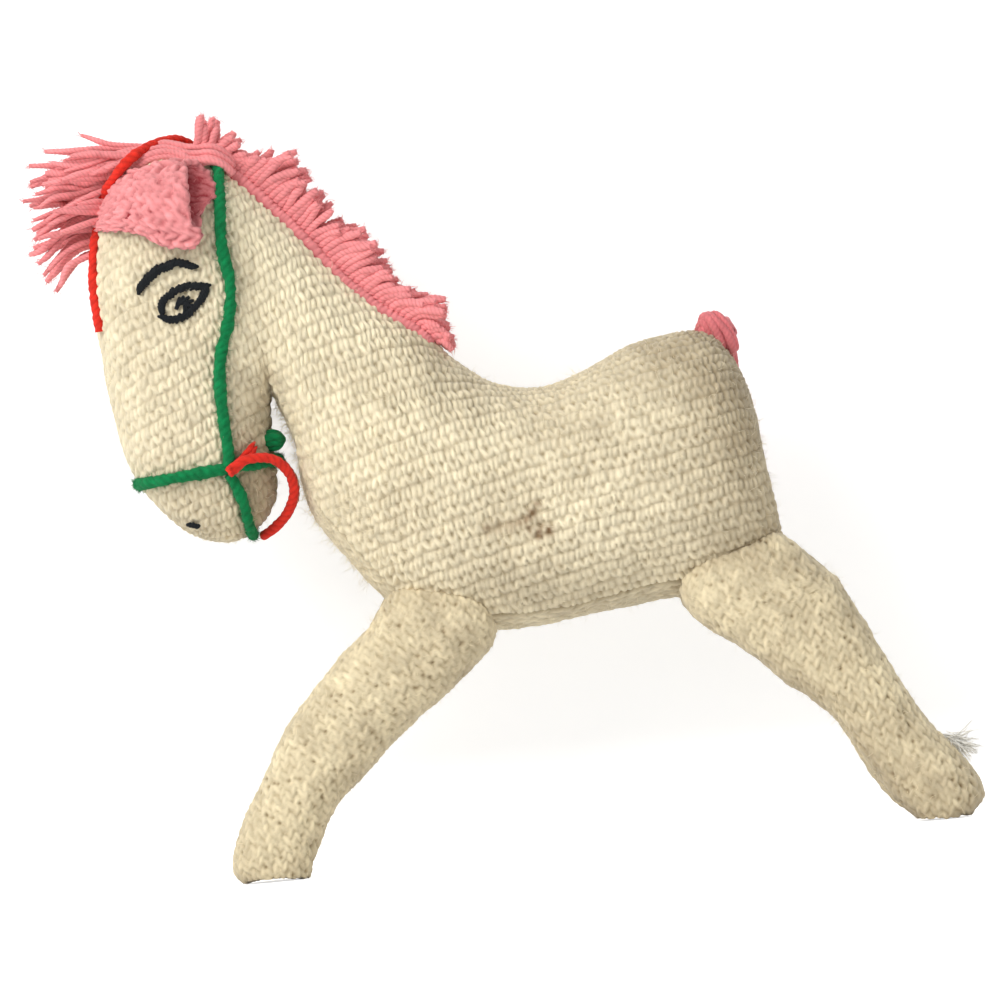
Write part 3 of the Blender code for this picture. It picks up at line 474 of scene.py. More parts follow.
def bodyRibs():
    rows = []
    for shares, place, half in (
        (trunkRibShares, trunkPlace, sizes["trunkHalfWidth"]),
        (neckRibShares, neckPlace, sizes["neckHalfWidth"]),
        (headRibShares, headPlace, sizes["headHalfWidth"]),
    ):
        for topX, topZ, lowX, lowZ, width in shares:
            rows.append((*place(topX, topZ), *place(lowX, lowZ), width * half))
    return np.array(rows)


ribs = bodyRibs()
throatPlace = len(trunkRibShares) + len(neckRibShares)


def evenPlaces(rows, step):
    # Places along a chain of ribs no further apart than a step on top, below or at the side
    fine = np.linspace(0, len(rows) - 1, 80 * len(rows))
    read = readRows(rows, fine)
    edge = np.abs(np.diff(read[:, 4]))
    top = np.hypot(*np.diff(read[:, :2], axis=0).T)
    low = np.hypot(*np.diff(read[:, 2:4], axis=0).T)
    middle = np.hypot(*np.diff((read[:, :2] + read[:, 2:4]) / 2, axis=0).T)
    gone = np.concatenate([[0.0], np.cumsum(np.maximum(np.maximum(top, low), np.hypot(middle, edge)))])
    wanted = np.linspace(0, gone[-1], int(gone[-1] / step) + 1)
    return np.interp(wanted, gone, fine)


def sectionGrid(rows, power, half):
    # Rings through ribs, even round each ring. Also the ring angle and the arc left to the side's middle.
    fine = np.linspace(0, math.pi, 721)
    along = signedPower(np.cos(fine), 2 / power)
    out = np.sin(fine) ** (2 / power)
    points = np.zeros((len(rows), 2 * half, 3))
    angles = np.zeros((len(rows), 2 * half))
    arcs = np.zeros((len(rows), 2 * half))
    shares = np.linspace(0, 1, half + 1)
    for r, (topX, topZ, lowX, lowZ, width) in enumerate(rows):
        halfX, halfZ = (topX - lowX) / 2, (topZ - lowZ) / 2
        line = np.stack([halfX * along, -width * out, halfZ * along], axis=1)
        lengths = pathLengths(line)
        wanted = shares * lengths[-1]
        sideArc = np.interp(math.pi / 2, fine, lengths)
        side = spaced(line, wanted) + ((topX + lowX) / 2, 0, (topZ + lowZ) / 2)
        turn = np.interp(wanted, lengths, fine)
        points[r, : half + 1] = side
        points[r, half + 1 :] = side[1:-1][::-1] * (1, -1, 1)
        angles[r, : half + 1] = turn
        angles[r, half + 1 :] = turn[1:-1][::-1]
        arcs[r, : half + 1] = sideArc - wanted
        arcs[r, half + 1 :] = (sideArc - wanted)[1:-1][::-1]
    return points, angles, arcs


# Crochet

stitchSizes = {
    "rowPitch": 0.00475,
    "stitchPitch": 0.0049,
    "relief": 0.0014,
    "legRowPitch": 0.0043,
    "legStitchPitch": 0.0025,
    "legRelief": 0.0013,
    "panelLean": math.radians(17),
}


def crochet(u, v, salt):
    # Worked rows in pairs: leaning strands below and above a line of small gaps, then a soft groove
    v = v + 0.12 * np.sin(u * 0.37 + salt) + 0.07 * np.sin(u * 1.9 + salt)
    pair = np.floor(v / 2)
    across = u + scatter(pair, pair * 0, salt) + 0.16 * np.sin(u * 0.71 + pair * 2.1)
    column = np.floor(across)
    dx = (across - column - 0.5) * 2 - 0.44 * (scatter(column, pair, salt + 1) - 0.5)
    dy = v - 2 * pair - 1 + 0.22 * (scatter(column, pair, salt + 7) - 0.5)
    near = np.abs(dy)
    upper = dy > 0
    lean = 0.55 + 0.55 * (scatter(column, pair, salt + 2) - 0.5)
    shift = np.where(upper, lean * (near - 0.5), 0.0)
    apart = np.where(upper, 0.50, 0.20 + 0.64 * (1 - near))
    first = np.clip(1 - ((dx + apart - shift) / 0.56) ** 2, 0, 1) ** 0.8
    second = np.clip(1 - ((dx - apart - shift) / 0.56) ** 2, 0, 1) ** 0.8
    first = first * (0.80 + 0.20 * scatter(column, pair, salt + 8))
    second = second * (0.80 + 0.20 * scatter(column, pair, salt + 3))
    plump = 1 - 0.62 * np.clip(np.abs(2 * near - 1), 0, 1) ** 2.0
    strand = np.maximum(first, second) * plump
    strong = np.clip(1.5 * scatter(column, pair, salt + 5) - 0.2, 0, 1.1)
    hole = bell(dx, 0.30) * bell(dy + 0.06, 0.20) * strong
    between = bell(near - 1, 0.15) * np.clip(1.5 * scatter(column, pair + 0.5, salt + 4) - 0.1, 0, 1)
    height = strand - 0.40 * hole - 0.30 * between
    depth = np.clip(0.42 * (1 - strand) + 0.30 * hole + 0.15 * between, 0, 1)
    side = np.where(first > second, 0.37, 0.0) + np.where(upper, 0.21, 0.0)
    return height, depth, 2 * scatter(column + side, pair, salt + 6) - 1


def flecks(u, v, salt, holes=0.6):
    # Work in the round: uneven, leaning flecks in staggered columns, with a few small gaps
    height = np.zeros(np.broadcast(u, v).shape)
    tint, inside = np.zeros_like(height), np.zeros_like(height)
    for a in (-1, 0, 1):
        column = np.floor(u) + a
        down = v + 0.5 * np.mod(column, 2) + 0.3 * scatter(column, column * 0, salt)
        for b in (-1, 0, 1):
            row = np.floor(down) + b
            x = u - column - 0.5 - 0.36 * (scatter(column, row, salt) - 0.5)
            y = down - row - 0.5 - 0.34 * (scatter(column, row, salt + 1) - 0.5)
            lean = np.where(np.mod(column, 2) > 0, 0.75, -0.55) + 0.6 * (scatter(column, row, salt + 2) - 0.5)
            wide = 0.52 + 0.14 * scatter(column, row, salt + 3)
            tall = 0.62 + 0.16 * scatter(column, row, salt + 4)
            grain = np.clip(1 - ((x + lean * y) / wide) ** 2 - (y / tall) ** 2, 0, 1) ** 0.7
            grain = grain * (0.62 + 0.38 * scatter(column, row, salt + 5))
            tint = np.where(grain > height, 2 * scatter(column, row, salt + 6) - 1, tint)
            height = np.maximum(height, grain)
            gap = bell(x - 0.55, 0.30) * bell(y - 0.45, 0.17)
            inside = np.maximum(inside, gap * (scatter(column, row, salt + 7) < holes * 0.2))
    return height - 0.55 * inside, np.clip(0.50 * (1 - height) + 0.75 * inside, 0, 1), tint


# Slope of the worked rows in degrees, by place along the body
rowSlopes = ((-0.175, 21), (-0.13, 22), (-0.075, 27), (-0.045, 23), (0.0, 13), (0.06, 10), (0.13, 9))


def rowPlace(x, z):
    # Counts along and across the worked rows, from places on the flat side panel
    nodes = np.linspace(-0.30, 0.25, 551)
    slope = np.radians(np.interp(nodes, *np.array(rowSlopes, float).T))
    step = nodes[1] - nodes[0]
    drift = np.cumsum(np.tan(slope)) * step
    run = np.cumsum(1 / np.cos(slope)) * step
    rise = z - np.interp(x, nodes, drift)
    tilt = np.cos(np.interp(x, nodes, slope))
    u = (np.interp(x, nodes, run) + rise * math.sin(stitchSizes["panelLean"])) / stitchSizes["stitchPitch"]
    return u, rise * tilt / stitchSizes["rowPitch"]


gussetWide = math.radians(30)
# Seams and creases: how wide and how deep they draw the skin in
seamSizes = {
    "width": 0.0011,
    "depth": 0.0016,
    "ridgeAway": 0.0026,
    "ridgeWidth": 0.0014,
    "ridgeHeight": 0.0009,
    "crestWidth": 0.0010,
    "crestDepth": 0.0005,
}
# How much darker the wool is painted, and where: grime at random, painted shade on the rump and under the jaw,
# darker along the top of the back, on the gusset and over the head, lighter on the upper neck
grimeAndShadeLevels = {
    "all": 0.20,
    "broad": 0.22,
    "fine": 0.16,
    "gusset": 0.05,
    "rump": 0.58,
    "back": 0.16,
    "neck": 0.22,
    "jaw": 0.95,
    "head": 0.18,
}
# Stained spots on the left side: x and z in metres, size and strength
stainSpots = (
    (-0.0060, 0.1383, 0.0024, 0.62),
    (-0.0020, 0.1384, 0.0026, 0.50),
    (0.0030, 0.1384, 0.0028, 0.48),
    (0.0070, 0.1397, 0.0024, 0.60),
    (0.0105, 0.1410, 0.0024, 0.85),
    (0.0129, 0.1438, 0.0023, 0.85),
    (0.0152, 0.1463, 0.0022, 0.60),
    (0.0112, 0.1372, 0.0024, 0.50),
    (0.0149, 0.1345, 0.0023, 1.15),
    (0.0190, 0.1352, 0.0024, 1.10),
    (0.0162, 0.1380, 0.0026, 0.55),
)


def makeBodySkins():
    places = evenPlaces(ribs, sizes["meshStep"])
    rows = readRows(ribs, places)
    rows[:, 4] = np.maximum(rows[:, 4], 0.0)
    half = sizes["ringHalf"]
    base, angles, arcs = sectionGrid(rows, sizes["sectionPower"], half)
    normals = gridNormals(base)
    normals[0] = normals[-1] = 0
    normals[0, :, 0] = 1.0
    normals[-1] = unit(base[-1].mean(axis=0) - base[-9].mean(axis=0))
    # The flat panel that the worked rows run over
    middle = (rows[:, :2] + rows[:, 2:4]) / 2
    reach = (rows[:, :2] - rows[:, 2:4]) / 2
    length = np.hypot(*reach.T)
    upward = reach / length[:, None]
    flatSteps = np.hypot(*np.diff(middle, axis=0).T)
    fullSteps = np.hypot(flatSteps, np.diff(rows[:, 4]))
    extra = np.concatenate([[0.0], np.cumsum(fullSteps - flatSteps)])
    extra -= np.interp(len(trunkRibShares) / 2, places, extra)
    onward = unit(np.gradient(middle, axis=0))
    flat = np.einsum("ijk,ik->ij", base[..., [0, 2]] - middle[:, None], upward)
    fan = ramp(places - throatPlace, -2, 3)
    more = arcs - flat
    more = np.where(more < 0, more * (1 - 0.95 * fan[:, None]), more)
    panel = base[..., [0, 2]] + upward[:, None] * more[..., None] + onward[:, None] * extra[:, None, None]
    u, v = rowPlace(panel[..., 0], panel[..., 1])
    farSide = base[..., 1] > 0
    height, depth, tint = crochet(u + 31.0 * farSide, v, 3.0)
    # The underside gusset has its stitches lengthwise
    gusset = ramp(places, 1.2, 2.5) * np.clip((throatPlace - places) / 0.4, 0, 1)
    edge = math.pi - gussetWide * np.clip(gusset, 0.06, 1)[:, None]
    onGusset = (angles > edge) & (gusset[:, None] > 0)
    lengthwise = np.cumsum(np.concatenate([[0.0], np.hypot(*np.diff(rows[:, 2:4], axis=0).T)]))
    around = arcs * np.where(farSide, -1.0, 1.0)
    lowU, lowV = around / stitchSizes["legStitchPitch"], lengthwise[:, None] / stitchSizes["legRowPitch"] / 1.2
    low = flecks(lowU, lowV, 5.0)
    height, depth, tint = (np.where(onGusset, b, a) for a, b in zip((height, depth, tint), low))
    ringArc = (arcs[:, :1] - arcs[:, half : half + 1]) / math.pi
    seamAway = (angles - edge) * ringArc
    s = seamSizes
    seam = bell(seamAway, s["width"]) * (gusset[:, None] > 0)
    ridge = bell(seamAway + s["ridgeAway"], s["ridgeWidth"]) * (gusset[:, None] > 0)
    crest = bell(base[..., 1], s["crestWidth"]) * (angles < 1.2)
    calm = 1 - np.clip(seam + 0.6 * crest, 0, 1)
    calm[:2] = calm[-2:] = 0
    front = ramp(-base[..., 0], 0.045, 0.03)
    depth = depth * (1 - 0.25 * front)
    lift = (height - 0.55) * stitchSizes["relief"] * calm * (1 - 0.15 * front)
    lift += s["ridgeHeight"] * ridge - s["depth"] * seam - s["crestDepth"] * crest
    lift += 0.0009 * softNoise(base, 0.030, 2.0) + 0.0004 * softNoise(base, 0.009, 4.0)
    points = base + normals * lift[..., None]
    x, z, g = base[..., 0], base[..., 2], grimeAndShadeLevels
    # Grime at random, painted shade towards the rump and under the jaw, darker along the top of the back, on
    # the gusset and over the head, lighter on the upper neck
    grimeAndShade = g["all"] + g["broad"] * softNoise(base, 0.035, 8.0) + g["fine"] * softNoise(base, 0.011, 9.0)
    grimeAndShade += g["gusset"] * onGusset + g["rump"] * ramp(x, 0.05, 0.06)
    grimeAndShade += g["back"] * ramp(z, 0.17, 0.04) * (x > -0.03)
    grimeAndShade -= g["neck"] * ramp(z, 0.16, 0.03) * ramp(-x, 0.03, 0.02)
    jawX, jawZ = (x - nodX) / sizes["cheekRadius"], (z - nodZ) / sizes["headDrop"]
    jaw = np.clip((jawX - 0.22 + 0.15 * (jawZ + 0.73)) / 0.16, 0, 1) * ramp(-jawZ, 0.30, 0.45)
    grimeAndShade += (g["jaw"] * jaw + g["head"]) * (places[:, None] > throatPlace - 0.5)
    stain = np.zeros_like(grimeAndShade)
    for spotX, spotZ, size, strength in stainSpots:
        away = np.hypot(x - spotX, z - spotZ)
        patchy = 1 + 0.7 * softNoise(base, 0.0016, 12.0) + 0.35 * depth
        stain = np.maximum(stain, strength * bell(away, size) * patchy * ~farSide)
    # Depth paints shade into the stitch gaps and the gusset seam's groove
    fields = {
        "depth": np.clip(depth + 0.5 * seam, 0, 1),
        "tint": tint,
        "grimeAndShade": np.clip(grimeAndShade, 0, 1),
        "stain": np.clip(stain, 0, 1),
    }
    shown = gridNormals(points)
    shown[0], shown[-1] = normals[0], normals[-1]
    uv = np.stack([u, v], axis=-1)
    quads = gridQuads(*points.shape[:2])
    rowOf = np.repeat(np.arange(len(rows) - 1), 2 * half)
    ahead = ((points[..., 0] - bendEnd.x) * bendLine.x + (points[..., 2] - bendEnd.z) * bendLine.z).ravel()
    onHead = (places[rowOf] >= throatPlace) | (ahead[quads].min(axis=1) >= 0)
    onHead &= places[rowOf] > throatPlace - 4
    body = meshObject("bodySkin", points, quads[~onHead], fields, uv, shown)
    head = meshObject("headSkin", points, quads[onHead], fields, uv, shown)
    coarse = base[::4, ::4]
    allQuads = gridQuads(*coarse.shape[:2])
    headQuads = allQuads[places[::4][allQuads[:, 0] // coarse.shape[1]] > throatPlace - 2]
    flat = coarse.reshape(-1, 3).tolist()
    lookups = [BVHTree.FromPolygons(flat, chosen.tolist()) for chosen in (allQuads, headQuads)]
    return body, head, *lookups


# The head turns on the neck between these places
throatX, throatZ = headPlace(0.615, -0.425)
bendLine = Vector((-0.848, 0.0, 0.530))
bendEnd = Vector((throatX, 0.0, throatZ))


def bendNeck(obj):
    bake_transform(obj)


bodySkin, headSkin, bodyLookup, headLookup = makeBodySkins()
layers = ("panel_left", "panel_right", "gusset", "stuffing")
bodyNodes = [f"{part}_{layer}" for part in ("trunk", "neck") for layer in layers]
dress(bodySkin, creamMaterial, nodes=bodyNodes)
bendNeck(bodySkin)
dress(headSkin, creamMaterial, "head", ("cheek_panel_left", "cheek_panel_right", "head_stuffing"))
print("body and head made")


def onSkin(x, z, side):
    # The place on the head's side above a point of its profile, and the way out
    place, normal, _, _ = headLookup.ray_cast(Vector((x, side * 0.3, z)), Vector((0, -side, 0)))
    if place is None:
        place, normal, _, _ = headLookup.find_nearest(Vector((x, side * 0.001, z)))
    place, normal = np.array(place), np.array(normal)
    return place, normal * (1 if normal[1] * side > 0 else -1)


def fromOutside(centre, direction, skin, reach=0.08):
    # The outermost place of a skin in one direction from a point inside it
    centre, direction = Vector(centre), Vector(direction).normalized()
    place, normal, _, _ = skin.ray_cast(centre + direction * reach, -direction)
    if normal.dot(direction) < 0:
        normal = -normal
    return np.array(place), np.array(normal)


# Legs

legSizes = {
    "halfThickness": 0.017,
    "spacing": 0.040,
    "footSplay": 0.004,
    "power": 2.5,
    "ringHalf": 78,
    "slope": math.radians(8),
    "seamAngle": 2.05,
    "gapStep": 0.0068,
    "creaseWidth": 0.0009,
    "bendAbove": 0.010,
    "bendBelow": 0.034,
}
legForms = {
    "foreleg": {
        "hinge": (0.132, 0.009),
        "radius": 0.0215,
        "reach": 0.078,
        "ribs": (
            (-0.090, 0.213, 0.077, 0.213, 0.0),
            (-0.224, 0.188, 0.224, 0.149, 0.58),
            (-0.286, 0.132, 0.301, 0.062, 0.85),
            (-0.333, 0.073, 0.295, -0.056, 0.96),
            (-0.356, 0.050, 0.194, -0.140, 1.0),
            (-0.372, 0.031, 0.051, -0.239, 1.0),
            (-0.541, -0.085, -0.141, -0.349, 1.0),
            (-0.705, -0.215, -0.314, -0.464, 0.99),
            (-0.872, -0.374, -0.474, -0.587, 0.97),
            (-1.009, -0.569, -0.641, -0.715, 0.94),
            (-1.141, -0.733, -0.731, -0.841, 0.94),
            (-1.212, -0.918, -0.779, -0.926, 0.93),
            (-1.150, -1.0, -0.820, -1.0, 0.80),
        ),
    },
    "hindleg": {
        "hinge": (0.930, 0.030),
        "radius": 0.026,
        "reach": 0.070,
        "ribs": (
            (-0.187, 0.240, 0.013, 0.270, 0.0),
            (-0.387, 0.170, 0.171, 0.240, 0.55),
            (-0.480, 0.090, 0.313, 0.145, 0.82),
            (-0.458, -0.005, 0.413, 0.075, 0.95),
            (-0.308, -0.120, 0.463, 0.045, 1.0),
            (-0.121, -0.214, 0.486, 0.020, 1.0),
            (0.071, -0.340, 0.614, -0.170, 0.99),
            (0.229, -0.440, 0.693, -0.305, 0.95),
            (0.393, -0.565, 0.814, -0.465, 0.92),
            (0.500, -0.700, 0.957, -0.615, 0.94),
            (0.650, -0.875, 1.129, -0.780, 0.96),
            (0.786, -0.985, 1.214, -0.910, 0.92),
            (0.810, -1.0, 1.110, -1.0, 0.76),
        ),
    },
}


def legRibs(form):
    # Front x and z, back x and z, half thickness and splay of each rib from the hip down
    hingeX, hingeZ = trunkPlace(*form["hinge"])
    thick = legSizes["halfThickness"]
    ribs = []
    for frontX, frontZ, backX, backZ, share in form["ribs"]:
        front = (hingeX + frontX * form["reach"], hingeZ + frontZ * hingeZ)
        back = (hingeX + backX * form["reach"], hingeZ + backZ * hingeZ)
        splay = legSizes["footSplay"] * max(1 - (front[1] + back[1]) / 2 / hingeZ, 0)
        ribs.append((*front, *back, thick * share, splay))
    first = np.array(ribs[5])
    down = unit(np.array([(first[0] + first[2]) / 2 - hingeX, (first[1] + first[3]) / 2 - hingeZ]))
    front, back = np.array(ribs[-1][:2]), np.array(ribs[-1][2:4])
    for share in (0.66, 0.33, 0.0):
        closed = (front + back) / 2
        halfLine = (front - back) / 2 * share
        ribs.append((*(closed + halfLine), *(closed - halfLine), ribs[12][4] * share, ribs[12][5]))
    return np.array(ribs), Vector((hingeX, 0, hingeZ)), Vector((down[0], 0, down[1]))


def bendLeg(obj, kind, side):
    # The leg skin's transform is baked in; the hinge is worked out but not used
    _, hinge, down = legRibs(legForms[kind])
    hinge.y = side * legSizes["spacing"] / 2
    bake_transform(obj)


def makeLeg(kind, side, salt):
    form = legForms[kind]
    ribs, hinge, down = legRibs(form)
    places = evenPlaces(ribs[:, :5], sizes["meshStep"])
    rows = readRows(ribs, places)
    rows[:, 4] = np.maximum(rows[:, 4], 0)
    base, angles, arcs = sectionGrid(rows[:, :5], legSizes["power"], legSizes["ringHalf"])
    spacing = side * legSizes["spacing"] / 2
    base[..., 1] = side * (legSizes["spacing"] / 2 + rows[:, 5:6]) + base[..., 1]
    base[..., 2] = np.maximum(base[..., 2], 0.0009)
    normals = gridNormals(base)
    normals[0] = (-down.x, 0, -down.z)
    soleRow = np.interp(len(ribs) - 4, places, np.arange(len(places)))
    normals[int(soleRow) + 3 :] = (0, 0, -1)
    middle = (rows[:, :2] + rows[:, 2:4]) / 2
    lengthwise = np.concatenate([[0.0], np.cumsum(np.hypot(*np.diff(middle, axis=0).T))])
    reach = (rows[:, :2] - rows[:, 2:4]) / 2
    across = reach / np.maximum(np.hypot(*reach.T), 1e-6)[:, None]
    flat = np.einsum("ijk,ik->ij", base[..., [0, 2]] - middle[:, None], across)
    panel = base[..., [0, 2]] + across[:, None] * (arcs - flat)[..., None]
    panel = panel - (hinge.x, hinge.z)
    lean, rise = math.cos(legSizes["slope"]), math.sin(legSizes["slope"])
    u = (panel[..., 0] * lean + panel[..., 1] * rise) / stitchSizes["legStitchPitch"] + 40
    v = (panel[..., 1] * lean - panel[..., 0] * rise) / stitchSizes["legRowPitch"] + 60
    u = u + 17.0 * (base[..., 1] > spacing)
    height, depth, tint = flecks(u, v, salt)
    # A line of small gaps follows the leg's own seam
    stops = np.mod(lengthwise / legSizes["gapStep"], 1)[:, None]
    outside = side * base[..., 1] > legSizes["spacing"] / 2
    seam = bell(angles - legSizes["seamAngle"], 0.035) * bell(stops - 0.5, 0.16) * outside
    height, depth = height - 0.6 * seam, depth + 0.6 * seam
    # Stitches pull the skin in where the leg is sewn to the body, and shade is painted into the crease
    away = np.full(angles.shape, 0.05)
    top = int(np.searchsorted(lengthwise, form["radius"] * 2.6))
    for r in range(top):
        for c in range(base.shape[1]):
            point = Vector(base[r, c])
            near, normal, _, _ = bodyLookup.find_nearest(point)
            reach = (point - near).length
            away[r, c] = reach if normal.dot(point - near) * outwardSign > 0 else -reach
    crease = bell(away - 0.0002, legSizes["creaseWidth"])
    lift = (height - 0.55) * stitchSizes["legRelief"] * (1 - 0.8 * crease) - 0.0006 * crease
    lift += 0.0010 * softNoise(base, 0.022, salt) + 0.0005 * softNoise(base, 0.007, salt + 1)
    points = base + normals * lift[..., None]
    points[..., 2] = np.maximum(points[..., 2], 0.0001)
    # Grime at random, darker towards the bottom of the hind legs, and painted shade on faces that turn
    # downward
    grimeAndShade = 0.20 + 0.30 * softNoise(base, 0.030, salt + 2) + 0.26 * softNoise(base, 0.008, salt + 3)
    grimeAndShade += 0.26 * ramp(-base[..., 2], -0.060, 0.04) * (base[..., 0] > 0.05)
    grimeAndShade += 0.42 * np.clip(-0.1 - normals[..., 2], 0, 1)
    fields = {
        "depth": np.clip(depth + 0.30 * crease, 0, 1),
        "tint": tint,
        "grimeAndShade": np.clip(grimeAndShade, 0, 1),
        "stain": np.zeros(grimeAndShade.shape),
    }
    name = f"{kind}{sideWords[side].title()}Skin"
    made = meshObject(name, points, gridQuads(*points.shape[:2]), fields, np.stack([u, v], axis=-1))
    body = f"{kind}_{sideWords[side]}"
    dress(made, legMaterial, nodes=(f"{body}_skin", f"{body}_stuffing"))
    bendLeg(made, kind, side)
    return made


probe, probeNormal, _, _ = bodyLookup.find_nearest(Vector((0.03, -0.08, 0.16)))
outwardSign = 1.0 if probeNormal.y < 0 else -1.0
legs = []
for number, kind in enumerate(legForms):
    for side in (-1, 1):
        legs.append((makeLeg(kind, side, 11.0 + 5 * number + side), kind, side))
print("legs made")

# Yarn strands

def yarn(
    name,
    routes,
    radius,
    plies=3,
    twist=1150.0,
    sides=12,
    side=(0.0, 1.0, 0.0),
    taper=0.0,
    lobeDepth=0.17,
    salt=1.0,
    lump=1.0,
):
    # Plied strands along routes that all have the same number of points
    routes = np.asarray(routes, float)
    count, steps = routes.shape[:2]
    share = np.linspace(0, 1, steps)
    size = radius * (1 - taper * np.clip((share - 0.8) / 0.2, 0, 1))
    radii = np.broadcast_to(size, (count, steps)).copy()
    radii *= 1 + 0.14 * (2 * scatter(np.arange(count), np.zeros(count), salt) - 1)[:, None]
    radii *= 1 + lump * (0.10 * softNoise(routes, 0.006, salt) + 0.08 * softNoise(routes, 0.0020, salt))
    ends = np.concatenate([routes[:, :1], routes, routes[:, -1:]], axis=1)
    ends[:, 0] += (routes[:, 0] - routes[:, 1]) * 0.02
    ends[:, -1] += (routes[:, -1] - routes[:, -2]) * 0.02
    radii = np.concatenate([radii[:, :1] * 0.02, radii, radii[:, -1:] * 0.02], axis=1)
    points, lobe = tubes(ends, radii, sides, plies, twist, side, lobeDepth)
    valley = (1 - lobe) / lobeDepth
    tint = (1.6 * lump - 0.8) * softNoise(points, 0.0022, salt + 3)
    tint += 0.7 * (2 * scatter(np.arange(count), np.ones(count), salt) - 1)[:, None, None]
    # Painted shade in the valleys between the plies
    fields = {"depth": min(2.4 * lobeDepth, 0.5) * valley**1.5, "tint": tint}
    return tubesObject(name, points, fields)


def curl(roots, first, last, lengths, steps, sag=0.0, wave=0.0):
    # Curves that leave along one direction and end along another
    t = np.linspace(0, 1, steps)[None, :, None]
    lengths = np.asarray(lengths)[:, None, None]
    a = roots[:, None] + first[:, None] * lengths * 0.42
    b = roots[:, None] + first[:, None] * lengths * 0.25 + last[:, None] * lengths * 0.42
    c = roots[:, None] + first[:, None] * lengths * 0.20 + last[:, None] * lengths * 0.86
    c = c - np.array((0, 0, 1.0)) * sag * lengths
    start = roots[:, None]
    made = start * (1 - t) ** 3 + 3 * a * t * (1 - t) ** 2 + 3 * b * t**2 * (1 - t) + c * t**3
    phase = chance.random((len(roots), 1, 1)) * 2 * math.pi
    sway = chance.normal(0, 1, (len(roots), 1, 3))
    return made + wave * sway * t * np.sin(phase + t * 7.0)


def crestRoute(count):
    # Places down the crest from the poll to the withers, with the way out and the way along
    firstPlace, lastPlace = throatPlace + 0.75, len(trunkRibShares) - 2.4
    fine = np.linspace(firstPlace, lastPlace, 400)
    rows = readRows(ribs, fine)
    line = np.stack([rows[:, 0], np.zeros(len(fine)), rows[:, 1]], axis=1)
    length = pathLengths(line)[-1]
    points = spaced(line, np.linspace(0, length, count))
    along = unit(np.gradient(points, axis=0))
    out = np.stack([-along[:, 2], np.zeros(count), along[:, 0]], axis=1)
    out *= np.sign((out * (points - (nodX, 0, nodZ - 0.05))).sum(axis=1))[:, None]
    return points, out, along, length


fibreSizes = {"radius": 0.00007, "length": 0.0042, "tips": 7, "tipRadius": 0.00013}


def fibres(name, roots, normals, lengths, radius, bend=0.8):
    # Short hairs that stand off the wool
    away = unit(normals + chance.normal(0, 0.45, normals.shape))
    turned = unit(away + chance.normal(0, bend, normals.shape))
    routes = curl(roots, away, turned, lengths, 6)
    radii = np.broadcast_to(radius * np.array((1, 1, 0.95, 0.85, 0.6, 0.25)), routes.shape[:2])
    points, lobe = tubes(routes, radii, sides=3)
    points[..., 2] = np.maximum(points[..., 2], 0.0002)
    return tubesObject(name, points, {"depth": lobe * 0, "tint": lobe * 0 + 0.6})


def skinFibres(obj, count, material, long=1.0, keep=None):
    # Hairs at random points over one skin, leaving out downward faces at the floor
    mesh = obj.data
    total = len(mesh.vertices)
    points = np.empty(total * 3, np.float32)
    mesh.vertices.foreach_get("co", points)
    normals = np.empty(total * 3, np.float32)
    mesh.vertices.foreach_get("normal", normals)
    points, normals = points.reshape(-1, 3), normals.reshape(-1, 3)
    pick = chance.integers(0, total, count)
    pick = pick[(points[pick, 2] > 0.004) | (normals[pick, 2] > -0.3)]
    if keep:
        pick = pick[keep(points[pick], normals[pick])]
    count = len(pick)
    lengths = fibreSizes["length"] * long * (0.35 + chance.random(count) ** 2)
    roots = points[pick] - normals[pick] * 0.0004
    made = fibres(obj.name + "Fibres", roots, normals[pick], lengths, fibreSizes["radius"])
    made.data.materials.append(material)
    return made


def tipFibres(name, routes):
    # Frayed ends of yarn strands
    each = fibreSizes["tips"]
    tips = np.repeat(routes[:, -1], each, axis=0) + chance.normal(0, 0.0006, (len(routes) * each, 3))
    ways = np.repeat(unit(routes[:, -1] - routes[:, -3]), each, axis=0)
    lengths = 0.0012 + 0.002 * chance.random(len(tips))
    made = fibres(name, tips - ways * 0.0008, ways, lengths, fibreSizes["tipRadius"], 0.4)
    made.data.materials.append(pinkMaterial)
    return made


maneSizes = {
    "columns": 50,
    "rows": (-0.0080, -0.0028, 0.0028, 0.0080),
    "steps": 42,
    "radius": 0.001815,
    "clusters": 11,
    "gather": 0.46,
    "crestRadius": 0.019,
    "under": 0.020,
    "baseHalfWidth": 0.0136,
    "baseLift": 0.0026,
    "baseRings": 300,
    "baseAcross": 41,
    "baseSink": 0.0010,
    "baseRelief": 0.0011,
    "baseStitch": 0.0043,
    "baseRow": 0.0046,
}
# Mane locks: place along the crest, lean from straight up in degrees, length
maneLocks = (
    (0.0, 2, 0.015),
    (0.04, 14, 0.014),
    (0.055, 60, 0.012),
    (0.08, 76, 0.011),
    (0.12, 78, 0.010),
    (0.17, 62, 0.012),
    (0.22, 58, 0.022),
    (0.27, 66, 0.018),
    (0.33, 46, 0.016),
    (0.40, 44, 0.015),
    (0.47, 62, 0.013),
    (0.53, 76, 0.018),
    (0.62, 72, 0.017),
    (0.70, 76, 0.013),
    (0.78, 84, 0.014),
    (0.86, 88, 0.018),
    (0.93, 108, 0.011),
    (1.0, 122, 0.007),
)


def crestSpot(point, out, offset):
    # The skin beside a place on the crest, its normal and the way out
    turn = offset / maneSizes["crestRadius"]
    way = out * math.cos(turn) + np.array((0, math.sin(turn), 0))
    return (*fromOutside(point - out * maneSizes["under"], way, bodyLookup), way)


